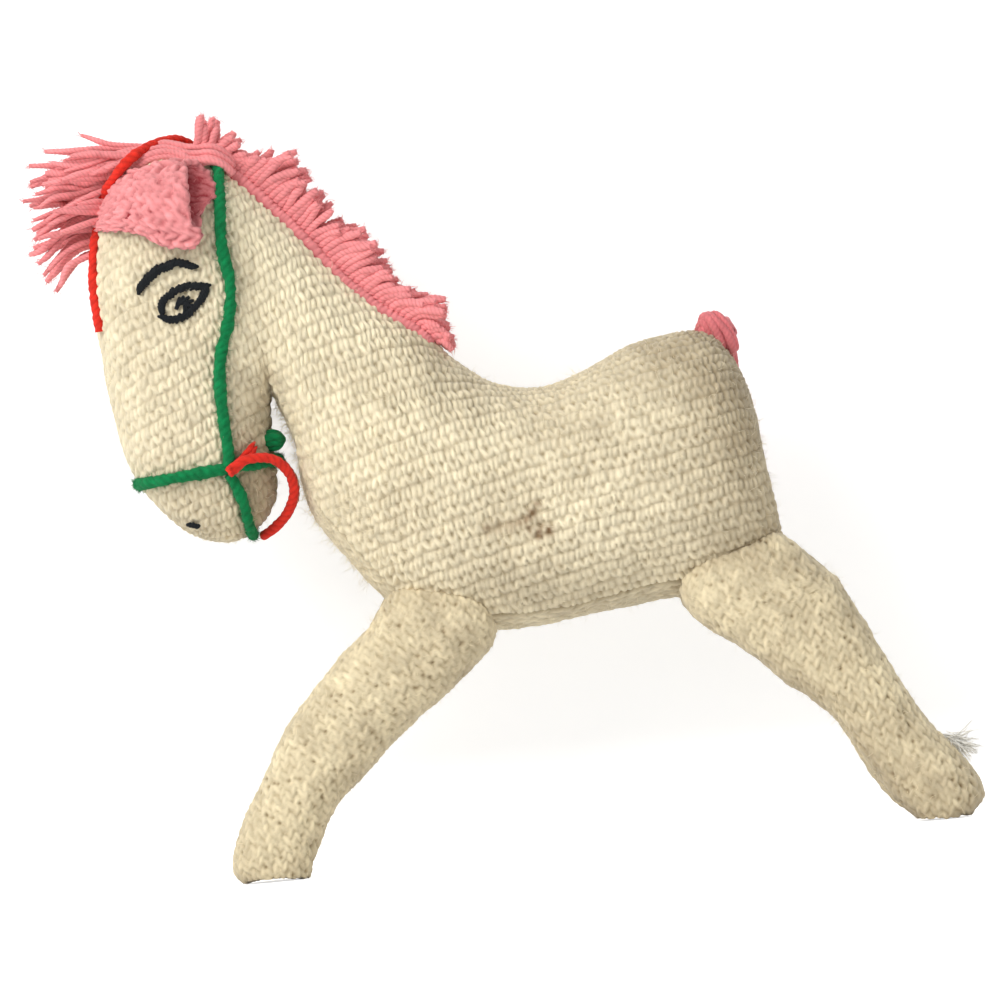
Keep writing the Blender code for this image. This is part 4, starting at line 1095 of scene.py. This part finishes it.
def makeManeBase():
    # The crocheted band that the mane is knotted to
    m = maneSizes
    count, across = m["baseRings"], m["baseAcross"]
    points, out, _, length = crestRoute(count)
    offsets = np.linspace(-1, 1, across) * m["baseHalfWidth"]
    grid = np.zeros((count, across, 3))
    ways = np.zeros((count, across, 3))
    for r in range(count):
        for c, offset in enumerate(offsets):
            grid[r, c], ways[r, c], _ = crestSpot(points[r], out[r], offset)
    place = np.linspace(0, length, count)[:, None] / m["baseStitch"]
    u = np.broadcast_to(place, (count, across))
    v = np.broadcast_to(offsets[None] / m["baseRow"] + 8, (count, across))
    height, depth, tint = crochet(u, v, 21.0)
    edge = np.abs(offsets) / m["baseHalfWidth"]
    rim = np.clip((1 - edge) / 0.22, 0, 1) ** 0.5
    rim = rim[None] * np.clip(np.minimum(place, place[-1] - place) / 0.8, 0, 1) ** 0.5
    lift = -m["baseSink"] + rim * (m["baseLift"] + m["baseRelief"] * height)
    grid = grid + ways * lift[..., None]
    # Painted shade at the band's edges and ends, where it meets the skin
    fields = {"depth": np.clip(depth * 0.8 + 0.5 * (1 - rim) ** 2, 0, 1), "tint": tint}
    made = meshObject("maneBase", grid, gridQuads(count, across, False), fields, np.stack([u, v], axis=-1))
    return dress(made, pinkMaterial)


def makeMane():
    m = maneSizes
    points, out, along, length = crestRoute(m["columns"])
    places = np.linspace(0, 1, m["columns"])
    locks = np.array(maneLocks, float)
    roots, first, last, lengths = [], [], [], []
    for offset in m["rows"]:
        for c in range(m["columns"]):
            share = min(max(places[c] + (chance.random() - 0.5) * 0.012, 0), 1)
            cluster = (math.floor(share * m["clusters"]) + 0.5) / m["clusters"]
            lean = math.radians(np.interp(share, locks[:, 0], locks[:, 1]) + chance.normal(0, 6))
            reach = np.interp(share, locks[:, 0], locks[:, 2]) * (0.82 + 0.28 * chance.random())
            place, _, way = crestSpot(points[c], out[c], offset)
            roots.append(place + way * 0.0012)
            first.append(way + along[c] * 0.05)
            toward = (cluster - share) * length * along[c] / reach * m["gather"]
            sideways = np.array((0, offset * 25 + chance.normal(0, 0.06), 0))
            last.append(np.array((math.sin(lean), 0, math.cos(lean))) + toward + sideways)
            lengths.append(reach)
    first, last = unit(np.array(first)), unit(np.array(last))
    routes = curl(np.array(roots), first, last, lengths, m["steps"], 0.04, 0.0005)
    made = yarn("maneStrands", routes, m["radius"], taper=0.3)
    return dress(made, pinkMaterial, nodes=("mane",)), tipFibres("maneTips", routes)


for made in (makeManeBase(), *makeMane()):
    bendNeck(made)

forelockSizes = {
    "strands": 92,
    "steps": 84,
    "over": 8,
    "radius": 0.001485,
    "headMiddleZ": 0.275,
    "room": 0.0085,
    "spreadX": -0.152,
    "backX": -0.125,
}
# Forelock: place along the forehead, lean from straight up in degrees, length
foreLocks = (
    (0.0, -92, 0.036),
    (0.15, -88, 0.042),
    (0.3, -85, 0.041),
    (0.5, -90, 0.038),
    (0.65, -100, 0.032),
    (0.8, -112, 0.028),
    (1.0, -126, 0.023),
)


def overStrand(side, share, steps):
    # One strand from the front of the mane over the top of the head, above the strap and the ear
    line = []
    lift = 0.0004 + 0.0024 * chance.random()
    long = 0.036 + 0.006 * chance.random()
    lean = share + 0.10 * chance.normal()
    for t in np.linspace(0, 1, 10):
        x = -0.1000 - long * t
        turn = (0.86 - 0.62 * share) * max(1 - 1.7 * t, 0) + (0.48 - 0.38 * lean) * min(2.0 * t, 1)
        place, normal = fromOutside((x, 0, forelockSizes["headMiddleZ"]), (0, side * turn, 1.0), headLookup)
        line.append(place + normal * (lift + 0.0034 * bell(x + 0.1065, 0.0060)))
    end, reach = line[-1], 0.006 + 0.018 * chance.random()
    for t in (0.5, 1.0):
        line.append(end + np.array((-1.0, side * 0.12, -0.12 * t + chance.normal(0, 0.06))) * reach * t)
    fine = readRows(line, np.linspace(0, len(line) - 1, 90))
    return spaced(fine, np.linspace(0, pathLengths(fine)[-1], steps))


def makeForelock():
    rows = readRows(ribs, np.linspace(throatPlace + 0.2, throatPlace + 5.2, 200))
    line = np.stack([rows[:, 0], np.zeros(200), rows[:, 1]], axis=1)
    length = pathLengths(line)[-1]
    locks = np.array(foreLocks, float)
    roots, first, last, reaches = [], [], [], []
    for number in range(forelockSizes["strands"]):
        share = ((number + 0.5) / forelockSizes["strands"]) ** 1.25
        offset = (chance.random() - 0.5) * (0.040 if share < 0.35 else 0.018)
        way = spaced(line, [share * length])[0] - (nodX, 0, nodZ)
        way = unit(way) + np.array((0, offset / 0.022, 0))
        place, normal = fromOutside((nodX, 0, nodZ), way, headLookup, 0.12)
        lean = math.radians(np.interp(share, locks[:, 0], locks[:, 1]) + chance.normal(0, 9))
        reach = np.interp(share, locks[:, 0], locks[:, 2]) * (0.80 + 0.3 * chance.random())
        roots.append(place - normal * 0.0006)
        first.append(unit(normal) * 0.18 + np.array((-1.0, 0, 0.0)))
        sideways = chance.normal(0, 0.08)
        last.append(np.array((math.sin(lean), sideways, math.cos(lean))))
        reaches.append(reach)
    first, last = unit(np.array(first)), unit(np.array(last))
    routes = curl(np.array(roots), first, last, reaches, forelockSizes["steps"], 0.03, 0.0012)
    # The strands stay between the ears and spread beyond them
    ahead = np.clip(forelockSizes["spreadX"] - routes[..., 0], 0, 1)
    behind = np.clip(routes[..., 0] - forelockSizes["backX"], 0, 0.02)
    room = forelockSizes["room"] + 0.6 * ahead + 0.5 * behind
    routes[..., 1] = room * np.tanh(routes[..., 1] / room)
    shares = (np.arange(forelockSizes["over"]) + 0.5) / forelockSizes["over"]
    over = [overStrand(side, share, routes.shape[1]) for side in (-1, 1) for share in shares]
    routes = np.concatenate([routes, over])
    made = yarn("forelockStrands", routes, forelockSizes["radius"], taper=0.35)
    dress(made, pinkMaterial, "head", ("forelock",))
    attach(tipFibres("forelockTips", routes), "head")


makeForelock()

# Tail: its root and its turns down the far side of one rib in degrees, with girth
tailSizes = {
    "rib": 3.5,
    "radius": 0.0063,
    "strand": 0.00175,
    "strands": 14,
}
tailRoot = (
    (0.0905, 0.0000, 0.2120, 0.35),
    (0.0940, -0.0026, 0.2152, 0.85),
    (0.0980, -0.0034, 0.2128, 0.95),
    (0.1012, -0.0016, 0.2072, 0.95),
)
tailTurns = ((12, 0.95), (26, 1.0), (42, 1.0), (58, 1.0), (74, 1.0), (88, 0.95), (104, 0.8))


def makeTail():
    row = readRows(ribs, tailSizes["rib"])[0]
    centre = ((row[0] + row[2]) / 2, 0, (row[1] + row[3]) / 2)
    up = unit(np.array((row[0] - row[2], 0, row[1] - row[3])))
    line = [list(point) for point in tailRoot]
    for degrees, girth in tailTurns:
        turn = math.radians(degrees)
        reach = up * math.cos(turn) * 1.35 + np.array((0, math.sin(turn), 0))
        place, normal = fromOutside(centre, reach, bodyLookup)
        line.append((*(place + normal * tailSizes["radius"] * 0.85), girth))
    spread = readRows(line, np.linspace(0, len(line) - 1, 150))
    route, girth = spread[:, :3], spread[:, 3]
    along = unit(np.gradient(route, axis=0))
    first = unit(np.cross(along, (1.0, 0.2, 0.1)))
    second = np.cross(along, first)
    routes = []
    gone = pathLengths(route)
    count = tailSizes["strands"]
    for k in range(count):
        turn = 2 * math.pi * k * 0.382 + gone * 14 + 0.5 * softNoise(route, 0.015, k)
        reach = tailSizes["radius"] * 0.80 * girth * math.sqrt((k + 0.5) / count)
        reach = reach * (1 + 0.25 * softNoise(route, 0.012, k + 40))
        offset = np.cos(turn)[:, None] * first + np.sin(turn)[:, None] * second
        strand = route + offset * reach[:, None]
        length = pathLengths(strand)[-1] * (0.84 + 0.16 * chance.random())
        routes.append(spaced(strand, np.linspace(0, length, len(strand))))
    made = yarn("tailStrands", routes, tailSizes["strand"], side=(1.0, 0, 0), taper=0.4)
    dress(made, darkPinkMaterial, nodes=("tail",))
    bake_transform(made)


makeTail()
print("mane, forelock and tail made")

# Ears

earSizes = {
    "mouthX": -0.1182,
    "tipX": -0.1624,
    "bulge": 0.0125,
    "wall": 0.0030,
    "standoff": 0.0010,
    "lobe": 0.0046,
    "farReach": 0.0112,
    "farRise": 0.0035,
    "columns": 96,
    "stitch": 0.0034,
    "row": 0.0046,
    "relief": 0.0022,
    "innerRelief": 0.0007,
}
# Ear outline: place from mouth to tip, middle and half height
earOutline = (
    (0.0, 0.2848, 0.0188),
    (0.10, 0.2850, 0.0189),
    (0.33, 0.2863, 0.0170),
    (0.50, 0.2882, 0.0138),
    (0.63, 0.2881, 0.0119),
    (0.85, 0.2860, 0.0084),
    (0.94, 0.2848, 0.0066),
    (0.985, 0.2838, 0.0048),
    (1.0, 0.2834, 0.0006),
)


def earRing(side, place, inset):
    e, outline = earSizes, np.array(earOutline)
    centreZ, half = (np.interp(place, outline[:, 0], outline[:, k]) for k in (1, 2))
    bulge = max(e["bulge"] * half / outline[0, 2] - inset, 0.0002)
    half = max(half - inset, 0.0002)
    mouth = 1 - max(place, 0)
    points = []
    for c in range(e["columns"]):
        turn = 2 * math.pi * c / e["columns"]
        up, out = math.cos(turn), math.sin(turn)
        far = max(-out, 0)
        rise = 0.80 * min(far * 1.5, 1) * (up < 0)
        z = centreZ + half * up * (1 - rise) + e["farRise"] * far * mouth
        x = e["mouthX"] + (e["tipX"] - e["mouthX"]) * place
        x += e["farReach"] * far * mouth + e["lobe"] * bell(up + 0.76, 0.24) * mouth**3 * (out > -0.2)
        root, _ = onSkin(min(x, -0.1), min(z, 0.300), side)
        puff = 0.42 + 0.58 * out if out > 0 else 0.42 + 0.38 * out
        y = abs(root[1]) + e["standoff"] + inset + max(bulge - inset, 0.0002) * puff
        points.append((x, side * y, z))
    return points


def makeEar(side):
    e = earSizes
    stations = np.sort(1 - np.linspace(0, 1, 62) ** 0.8)[::-1]
    # Each ring's place along the ear, how far it is set in, and how deep inside it lies; the deeper rings get
    # painted shade
    rings = [(place, 0.0, 0.0) for place in stations]
    rings += [(-0.02, e["wall"] * turn, 0.25) for turn in (0.3, 0.7)]
    rings += [(place, e["wall"], 0.45 + 0.55 * min(place * 3.5, 1)) for place in np.linspace(0.0, 0.72, 30)]
    base = np.array([earRing(side, place, inset) for place, inset, _ in rings])
    marks = np.array([mark for _, _, mark in rings])
    normals = gridNormals(base)
    lengthwise = pathLengths(base[:, e["columns"] // 4])
    around = pathLengths(base[len(stations) - 12])
    u = np.broadcast_to(around[None, :] / e["stitch"], base.shape[:2])
    v = np.broadcast_to(lengthwise[:, None] / e["row"], base.shape[:2])
    height, depth, tint = flecks(u, v, 31.0 + side, 0.25)
    lift = (height - 0.5) * np.where(marks > 0.3, e["innerRelief"], e["relief"])[:, None]
    lift += 0.0007 * softNoise(base, 0.008, 6.0) + 0.0004 * softNoise(base, 0.003, 7.0)
    points = base + normals * lift[..., None]
    # Painted shade inside the ear, by how deep each ring lies
    hollow = np.broadcast_to(marks[:, None], depth.shape)
    fields = {"depth": np.clip(depth * 1.1 + 0.95 * hollow, 0, 1), "tint": tint}
    name, body = f"ear{sideWords[side].title()}Crochet", f"ear_{sideWords[side]}"
    made = meshObject(name, points, gridQuads(*points.shape[:2]), fields, np.stack([u, v], axis=-1))
    return dress(made, earMaterial, body, (body,))


ears = [makeEar(side) for side in (-1, 1)]
print("ears made")

# Bridle

bridleSizes = {
    "greenRadius": 0.0026,
    "redRadius": 0.0021,
    "step": 0.0006,
    "lift": 0.0012,
    "greenTwist": 620.0,
    "redTwist": 700.0,
    "greenLump": 2.0,
    "fuzz": {"cheekStraps": 5200, "nosebandCord": 3000, "mouthStrap": 1700},
    "fuzzLong": 0.55,
}
# Cord routes on the head in cheek radii and head drops from the nod axis
cheekStrapShares = (
    (0.252, -0.728),
    (0.276, -0.660),
    (0.264, -0.520),
    (0.259, -0.400),
    (0.285, -0.270),
    (0.370, -0.126),
    (0.398, 0.003),
    (0.373, 0.110),
    (0.365, 0.185),
    (0.375, 0.285),
    (0.380, 0.390),
    (0.375, 0.455),
)
noseLineShares = ((-0.387, -0.737), (0.644, -0.690))
mouthStrapShares = ((0.262, -0.730), (0.292, -0.762), (0.341, -0.845), (0.357, -0.910))


def redCord(name, route, side=(0.0, 1.0, 0.0), lump=2.0):
    b = bridleSizes
    return yarn(name, route[None], b["redRadius"], 3, b["redTwist"], 20, side, lobeDepth=0.15, lump=lump)


def greenCord(name, route, radius, side, nodes):
    b = bridleSizes
    made = yarn(name, route[None], radius, 3, b["greenTwist"], 20, side, lobeDepth=0.15, lump=b["greenLump"])
    return dress(made, greenMaterial, "head", nodes)


def sideRoute(shares, side, lift):
    found = []
    for x, z in shares:
        place, normal = onSkin(*headPlace(x, z), side)
        found.append(place + normal * lift * (0.2 + 0.8 * abs(normal[1])))
    return found


def makeBridle():
    b = bridleSizes
    lift = b["lift"] + b["greenRadius"] * 0.35
    left, right = (sideRoute(cheekStrapShares, side, lift) for side in (-1, 1))
    top = readRows(ribs, throatPlace + 0.62)[0]
    over = [np.array((top[0], 0, top[1] + lift))]
    route = evenRoute(left + over + right[::-1], b["step"])
    cords = [greenCord("cheekStraps", route, b["greenRadius"], (1.0, 0.0, 0.0), ("cheek_straps",))]
    # Noseband round the muzzle in one plane
    (frontX, frontZ), (backX, backZ) = (headPlace(*share) for share in noseLineShares)
    centre = np.array(((frontX + backX) / 2, 0, (frontZ + backZ) / 2))
    line = unit(np.array((frontX - backX, 0, frontZ - backZ)))
    loop = []
    for k in range(41):
        turn = 2 * math.pi * k / 40
        way = line * math.cos(turn) + np.array((0, math.sin(turn), 0))
        place, normal = fromOutside(centre, way, headLookup, 0.045)
        loop.append(place + normal * lift * (1.1 * abs(normal[1]) ** 0.5 - 0.2))
    route = evenRoute(loop, b["step"])
    cords.append(greenCord("nosebandCord", route, b["greenRadius"], (-line[2], 0.0, line[0]), ("noseband",)))
    left, right = (sideRoute(mouthStrapShares, side, lift) for side in (-1, 1))
    chinX, chinZ = headPlace(0.30, -0.80)
    low = []
    for side in (-0.6, 0.0, 0.6):
        place, normal = fromOutside((chinX, 0, chinZ), (0.28, side, -1), headLookup, 0.05)
        low.append(place + normal * lift * 0.1)
    route = evenRoute(left + low + right[::-1], b["step"])
    cords.append(greenCord("mouthStrap", route, b["greenRadius"] * 0.92, (1.0, 0.0, 0.0), ("mouth_strap",)))
    for cord in cords:
        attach(skinFibres(cord, b["fuzz"][cord.name], greenMaterial, b["fuzzLong"]), "head")


makeBridle()


# The red cord's upper end, over the forelock's strands
strapTop = (
    (-0.1552, -0.0045, 0.2840),
    (-0.1545, -0.0060, 0.2900),
    (-0.1515, -0.0110, 0.2955),
    (-0.1462, -0.0166, 0.3018),
    (-0.1400, -0.0165, 0.3072),
    (-0.1335, -0.0120, 0.3110),
    (-0.1270, -0.0050, 0.3130),
    (-0.1190, 0.0020, 0.3126),
    (-0.1120, 0.0060, 0.3080),
)


def makeFaceStrap():
    # The red cord up the middle of the face and over the forelock
    b = bridleSizes
    line = []
    for row in readRows(ribs, np.array((7.3, 7.0, 6.6, 6.2, 5.6, 5.0)) + throatPlace):
        place, normal = onSkin(row[0] + 0.0022, row[1], -1)
        line.append(place + normal * b["redRadius"] * 0.35)
    route = evenRoute(line + [np.array(point) for point in strapTop], b["step"])
    dress(redCord("faceStrap", route), redMaterial, "head", ("face_strap",))


makeFaceStrap()

# The loose rein: one side's route in metres, from the cheek to the middle under the chin
reinSide = (
    (-0.1118, -0.0312, 0.1718),
    (-0.1085, -0.0312, 0.1744),
    (-0.1040, -0.0300, 0.1766),
    (-0.0958, -0.0275, 0.1767),
    (-0.0902, -0.0240, 0.1739),
    (-0.0862, -0.0190, 0.1676),
    (-0.0858, -0.0150, 0.1604),
    (-0.0892, -0.0100, 0.1530),
    (-0.0950, -0.0050, 0.1474),
    (-0.1000, 0.0, 0.1445),
)


def makeRein():
    left = [np.array(p) for p in reinSide]
    right = [p * (1, -1, 1) for p in left[-2::-1]]
    route = evenRoute(left + right, bridleSizes["step"])
    made = redCord("reinCord", route, side=(1.0, 0.0, 0.2), lump=1.0)
    dress(made, redMaterial, "head", ("rein",))


makeRein()


# The rein's short loose end: where it is tied, then x, z and lift off the head in metres
reinEndRoot = (-0.1112, -0.0335, 0.1722)
reinEndSpots = ((-0.1080, 0.1757, 0.0036), (-0.1040, 0.1795, 0.0030), (-0.1008, 0.1830, 0.0024))


def makeReinEnd():
    line = [np.array(reinEndRoot)]
    for x, z, lift in reinEndSpots:
        place, normal = onSkin(x, z, -1)
        line.append(place + normal * lift)
    spread = readRows(line, np.linspace(0, 3, 30))
    routes = [spread + np.array((0.3, 0.0, -1.0)) * shift for shift in (-0.0010, 0.0010)]
    dress(yarn("reinEnd", routes, 0.0014, plies=2, twist=800.0, taper=0.7), redMaterial, "head")


makeReinEnd()


knotSizes = {"loops": 4, "radius": 0.0030, "yarn": 0.0018, "shift": (-0.0025, 0, -0.0035)}


def makeKnot():
    # A wound knot of green yarn at the back of the jaw
    low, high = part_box("throat_knot")
    centre = np.array((Vector(low) + Vector(high)) / 2) + knotSizes["shift"]
    routes = []
    for k in range(knotSizes["loops"]):
        tilt = math.pi * k / knotSizes["loops"] + 0.4
        turn = np.linspace(0, 2 * math.pi, 40)
        radius = knotSizes["radius"] * (1 + 0.08 * k)
        circle = np.stack([np.cos(turn), np.sin(turn) * math.cos(tilt), np.sin(turn) * math.sin(tilt)], axis=1)
        routes.append(centre + circle * radius)
    made = yarn("throatKnot", routes, knotSizes["yarn"], plies=2, twist=640.0, sides=10, side=(0.3, 0.5, 0.8))
    dress(made, greenMaterial, "head", ("throat_knot",))


makeKnot()
print("bridle made")

# Face

threadSizes = {
    "radius": 0.00085,
    "pitch": 0.0011,
    "twist": 1400.0,
    "lift": 0.0012,
    "arch": 0.0007,
    "ease": 0.0003,
}
# Stitched lines on the side of the head in metres, x and z, with half widths
faceRoutes = {
    "lid": (
        (-0.1419, 0.2512, 0.0016),
        (-0.1385, 0.2548, 0.0019),
        (-0.1340, 0.2583, 0.0020),
        (-0.1289, 0.2601, 0.0018),
        (-0.1240, 0.2610, 0.0017),
        (-0.1173, 0.2584, 0.0011),
    ),
    "eyeTop": (
        (-0.1335, 0.2405, 0.0014),
        (-0.1325, 0.2450, 0.0015),
        (-0.1290, 0.2482, 0.0015),
        (-0.1250, 0.2502, 0.0016),
        (-0.1200, 0.2509, 0.0015),
        (-0.1130, 0.2500, 0.0013),
    ),
    "eyeLow": (
        (-0.1130, 0.2500, 0.0013),
        (-0.1152, 0.2466, 0.0015),
        (-0.1188, 0.2425, 0.0017),
        (-0.1235, 0.2390, 0.0017),
        (-0.1290, 0.2376, 0.0015),
        (-0.1335, 0.2396, 0.0013),
    ),
    "pupil": (
        (-0.1266, 0.2440, 0.0018),
        (-0.1242, 0.2449, 0.0024),
        (-0.1222, 0.2434, 0.0026),
        (-0.1240, 0.2414, 0.0020),
    ),
    "nostril": (
        (-0.1304, 0.1532, 0.0005),
        (-0.1284, 0.1525, 0.0009),
        (-0.1260, 0.1516, 0.0005),
    ),
}


def makeFace(side):
    # Satin stitches laid side by side over each route
    parts, ends = [], (threadSizes["ease"], -threadSizes["ease"])
    for route in faceRoutes.values():
        table = np.array(route)
        fine = readRows(table, np.linspace(0, len(table) - 1, 90))
        lengths = pathLengths(np.stack([fine[:, 0], fine[:, 0] * 0, fine[:, 1]], axis=1))
        count = max(int(lengths[-1] / threadSizes["pitch"]), 3)
        for k in range(count):
            share = (k + 0.5) / count * lengths[-1]
            x, z, half = (np.interp(share, lengths, fine[:, i]) for i in range(3))
            near = [[np.interp(share + step, lengths, fine[:, i]) for i in (0, 1)] for step in ends]
            along = unit(np.subtract(*near))
            tilt = 0.9 + chance.normal(0, 0.12)
            cross = np.array((-along[1], along[0])) * math.cos(tilt) + along * math.sin(tilt)
            line = []
            for t in np.linspace(-1, 1, 9):
                spot = np.array((x, z)) + cross * t * half * (1.25 + 0.12 * chance.random())
                place, normal = onSkin(spot[0], spot[1], side)
                line.append(place + normal * (threadSizes["lift"] + threadSizes["arch"] * (1 - t * t)))
            parts.append(line)
    name, twist = f"face{sideWords[side].title()}", threadSizes["twist"]
    made = yarn(name, np.array(parts), threadSizes["radius"], 2, twist, 8, (0.2, 1.0, 0.1), 0.2, salt=4.0)
    made.data.materials.append(blackMaterial)
    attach(made, "head")


for side in (-1, 1):
    makeFace(side)
print("face made")

# Loose fibres

hairCounts = {"body": 2600, "chest": 16000, "head": 1500, "leg": 900, "ear": 900}
fraySizes = {"strands": 130, "radius": 0.00017, "length": 0.008, "rootX": 0.1760, "rootZ": 0.0335}


def onChest(points, normals):
    return (normals[:, 0] < -0.55) & (points[:, 2] < 0.20) & (points[:, 2] > 0.12)


bendNeck(skinFibres(bodySkin, hairCounts["body"], creamMaterial))
chestFibres = skinFibres(bodySkin, hairCounts["chest"], creamMaterial, 1.7, onChest)
chestFibres.name = "chestFibres"
bendNeck(chestFibres)
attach(skinFibres(headSkin, hairCounts["head"], creamMaterial), "head")
for leg, kind, side in legs:
    bendLeg(skinFibres(leg, hairCounts["leg"], legMaterial, 0.9), kind, side)
for ear, side in zip(ears, (-1, 1)):
    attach(skinFibres(ear, hairCounts["ear"], earMaterial, 0.6), f"ear_{sideWords[side]}")


def makeFray():
    # The frayed yarn end behind the left hind foot
    low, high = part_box("fetlock_fray")
    low, high = Vector(low), Vector(high)
    root = np.array((fraySizes["rootX"], (low.y + high.y) / 2, fraySizes["rootZ"]))
    count = fraySizes["strands"]
    roots = root + chance.normal(0, 0.0010, (count, 3))
    first = unit(np.array((1.0, 0, -0.35)) + chance.normal(0, 0.14, (count, 3)))
    last = unit(np.array((0.8, 0, -0.45)) + chance.normal(0, 0.42, (count, 3)))
    routes = curl(roots, first, last, fraySizes["length"] * (1 + chance.random(count)), 12)
    made = yarn("fetlockFray", routes, fraySizes["radius"], plies=0, twist=0.0, sides=4, taper=0.6)
    dress(made, whiteMaterial, "hindleg_left", ("fetlock_fray",))


makeFray()
print("fibres made")

# Stage

stageSizes = {
    "cameraDistance": 5.0,
    "viewWidth": 0.42,
    "viewCentreZ": 0.150,
    "roll": math.radians(5.36),
    "key": (-1.9, -1.7, 1.9),
    "keyPower": 87.0,
    "keySize": 2.2,
    "fill": (1.6, -1.6, 0.7),
    "fillPower": 8.0,
    "fillSize": 1.6,
    "back": (1.2, 1.9, 1.7),
    "backPower": 30.0,
    "backSize": 2.2,
    "worldLight": 0.40,
    "floorSize": 12.0,
    "floorTone": 0.92,
    "floorGlow": 0.64,
    "backdropPlace": 0.065,
    "backdropTone": 0.5,
    "backdropGlow": 0.66,
    "shadowFade": 22.0,
}


def areaLamp(name, place, power, size):
    lamp = bpy.data.lights.new(name, "AREA")
    lamp.energy = power
    lamp.size = size
    made = bpy.data.objects.new(name, lamp)
    made.location = place
    aim = Vector((0, 0, 0.15)) - Vector(place)
    made.rotation_euler = aim.to_track_quat("-Z", "Y").to_euler()
    bpy.context.scene.collection.objects.link(made)


def seenRays(tree):
    # Rays from the camera, also by way of a mirror or glass
    rays = addNode(tree, "ShaderNodeLightPath").outputs
    seen = calculate(tree, "MAXIMUM", rays["Is Camera Ray"], rays["Is Glossy Ray"])
    return calculate(tree, "MAXIMUM", seen, rays["Is Transmission Ray"])


def stagePaint(name, tone, glow, wall):
    # Pale paint that lets the object show from behind. The camera sees it glow up to white.
    paint = bpy.data.materials.new(name)
    paint.use_nodes = True
    tree = paint.node_tree
    shader = tree.nodes["Principled BSDF"]
    shader.inputs["Base Color"].default_value = (tone, tone, tone, 1)
    shader.inputs["Roughness"].default_value = 1.0
    shader.inputs["Specular IOR Level"].default_value = 0.0
    shader.inputs["Emission Strength"].default_value = 1.0
    seen = seenRays(tree)
    level = (glow, glow, glow)
    spot = addNode(tree, "ShaderNodeNewGeometry").outputs
    if wall:
        # The wall's shadow fades out at the floor
        parts = addNode(tree, "ShaderNodeSeparateXYZ")
        link(tree, spot["Position"], parts.inputs[0])
        height = calculate(tree, "MULTIPLY", parts.outputs["Z"], stageSizes["shadowFade"], True)
        level = mixColour(tree, height, (1.0, 1.0, 1.0), level)
    link(tree, mixColour(tree, seen, (0.0, 0.0, 0.0), level), shader.inputs["Emission Color"])
    front = calculate(tree, "SUBTRACT", 1.0, spot["Backfacing"])
    link(tree, calculate(tree, "MULTIPLY", front, seen) if wall else front, shader.inputs["Alpha"])
    return paint


def makeStage():
    s = stageSizes
    half = s["floorSize"] / 2
    y = s["backdropPlace"]
    for name, corners in (
        ("floor", [[(-half, -half, 0), (half, -half, 0)], [(-half, half, 0), (half, half, 0)]]),
        ("backdrop", [[(-half, y, 0), (half, y, 0)], [(-half, y, half), (half, y, half)]]),
    ):
        made = meshObject(name, np.array(corners, float), gridQuads(2, 2, False), {})
        paint = stagePaint(name + "Paint", s[name + "Tone"], s[name + "Glow"], name == "backdrop")
        made.data.materials.append(paint)
    world = bpy.data.worlds.new("studio")
    bpy.context.scene.world = world
    world.use_nodes = True
    tree = world.node_tree
    light = tree.nodes["Background"]
    light.inputs["Strength"].default_value = 1.0
    level = s["worldLight"]
    link(tree, mixColour(tree, seenRays(tree), (level, level, level), (1.0, 1.0, 1.0)), light.inputs["Color"])
    for lamp in ("key", "fill", "back"):
        areaLamp(lamp, s[lamp], s[lamp + "Power"], s[lamp + "Size"])


def makeCamera():
    s = stageSizes
    lens = bpy.data.cameras.new("camera")
    lens.sensor_width = 36.0
    lens.lens = lens.sensor_width * s["cameraDistance"] / s["viewWidth"]
    lens.clip_end = 50.0
    made = bpy.data.objects.new("camera", lens)
    bpy.context.scene.collection.objects.link(made)
    tilt = s["roll"]
    right = Vector((math.cos(tilt), 0, -math.sin(tilt)))
    up = Vector((math.sin(tilt), 0, math.cos(tilt)))
    back = Vector((0, -1, 0))
    turn = Matrix((right, up, back)).transposed().to_4x4()
    turn.translation = Vector((0, 0, s["viewCentreZ"])) + back * s["cameraDistance"]
    made.matrix_world = turn
    bpy.context.scene.camera = made


makeStage()
makeCamera()
bpy.context.scene.view_settings.view_transform = "Standard"

print("stage made")
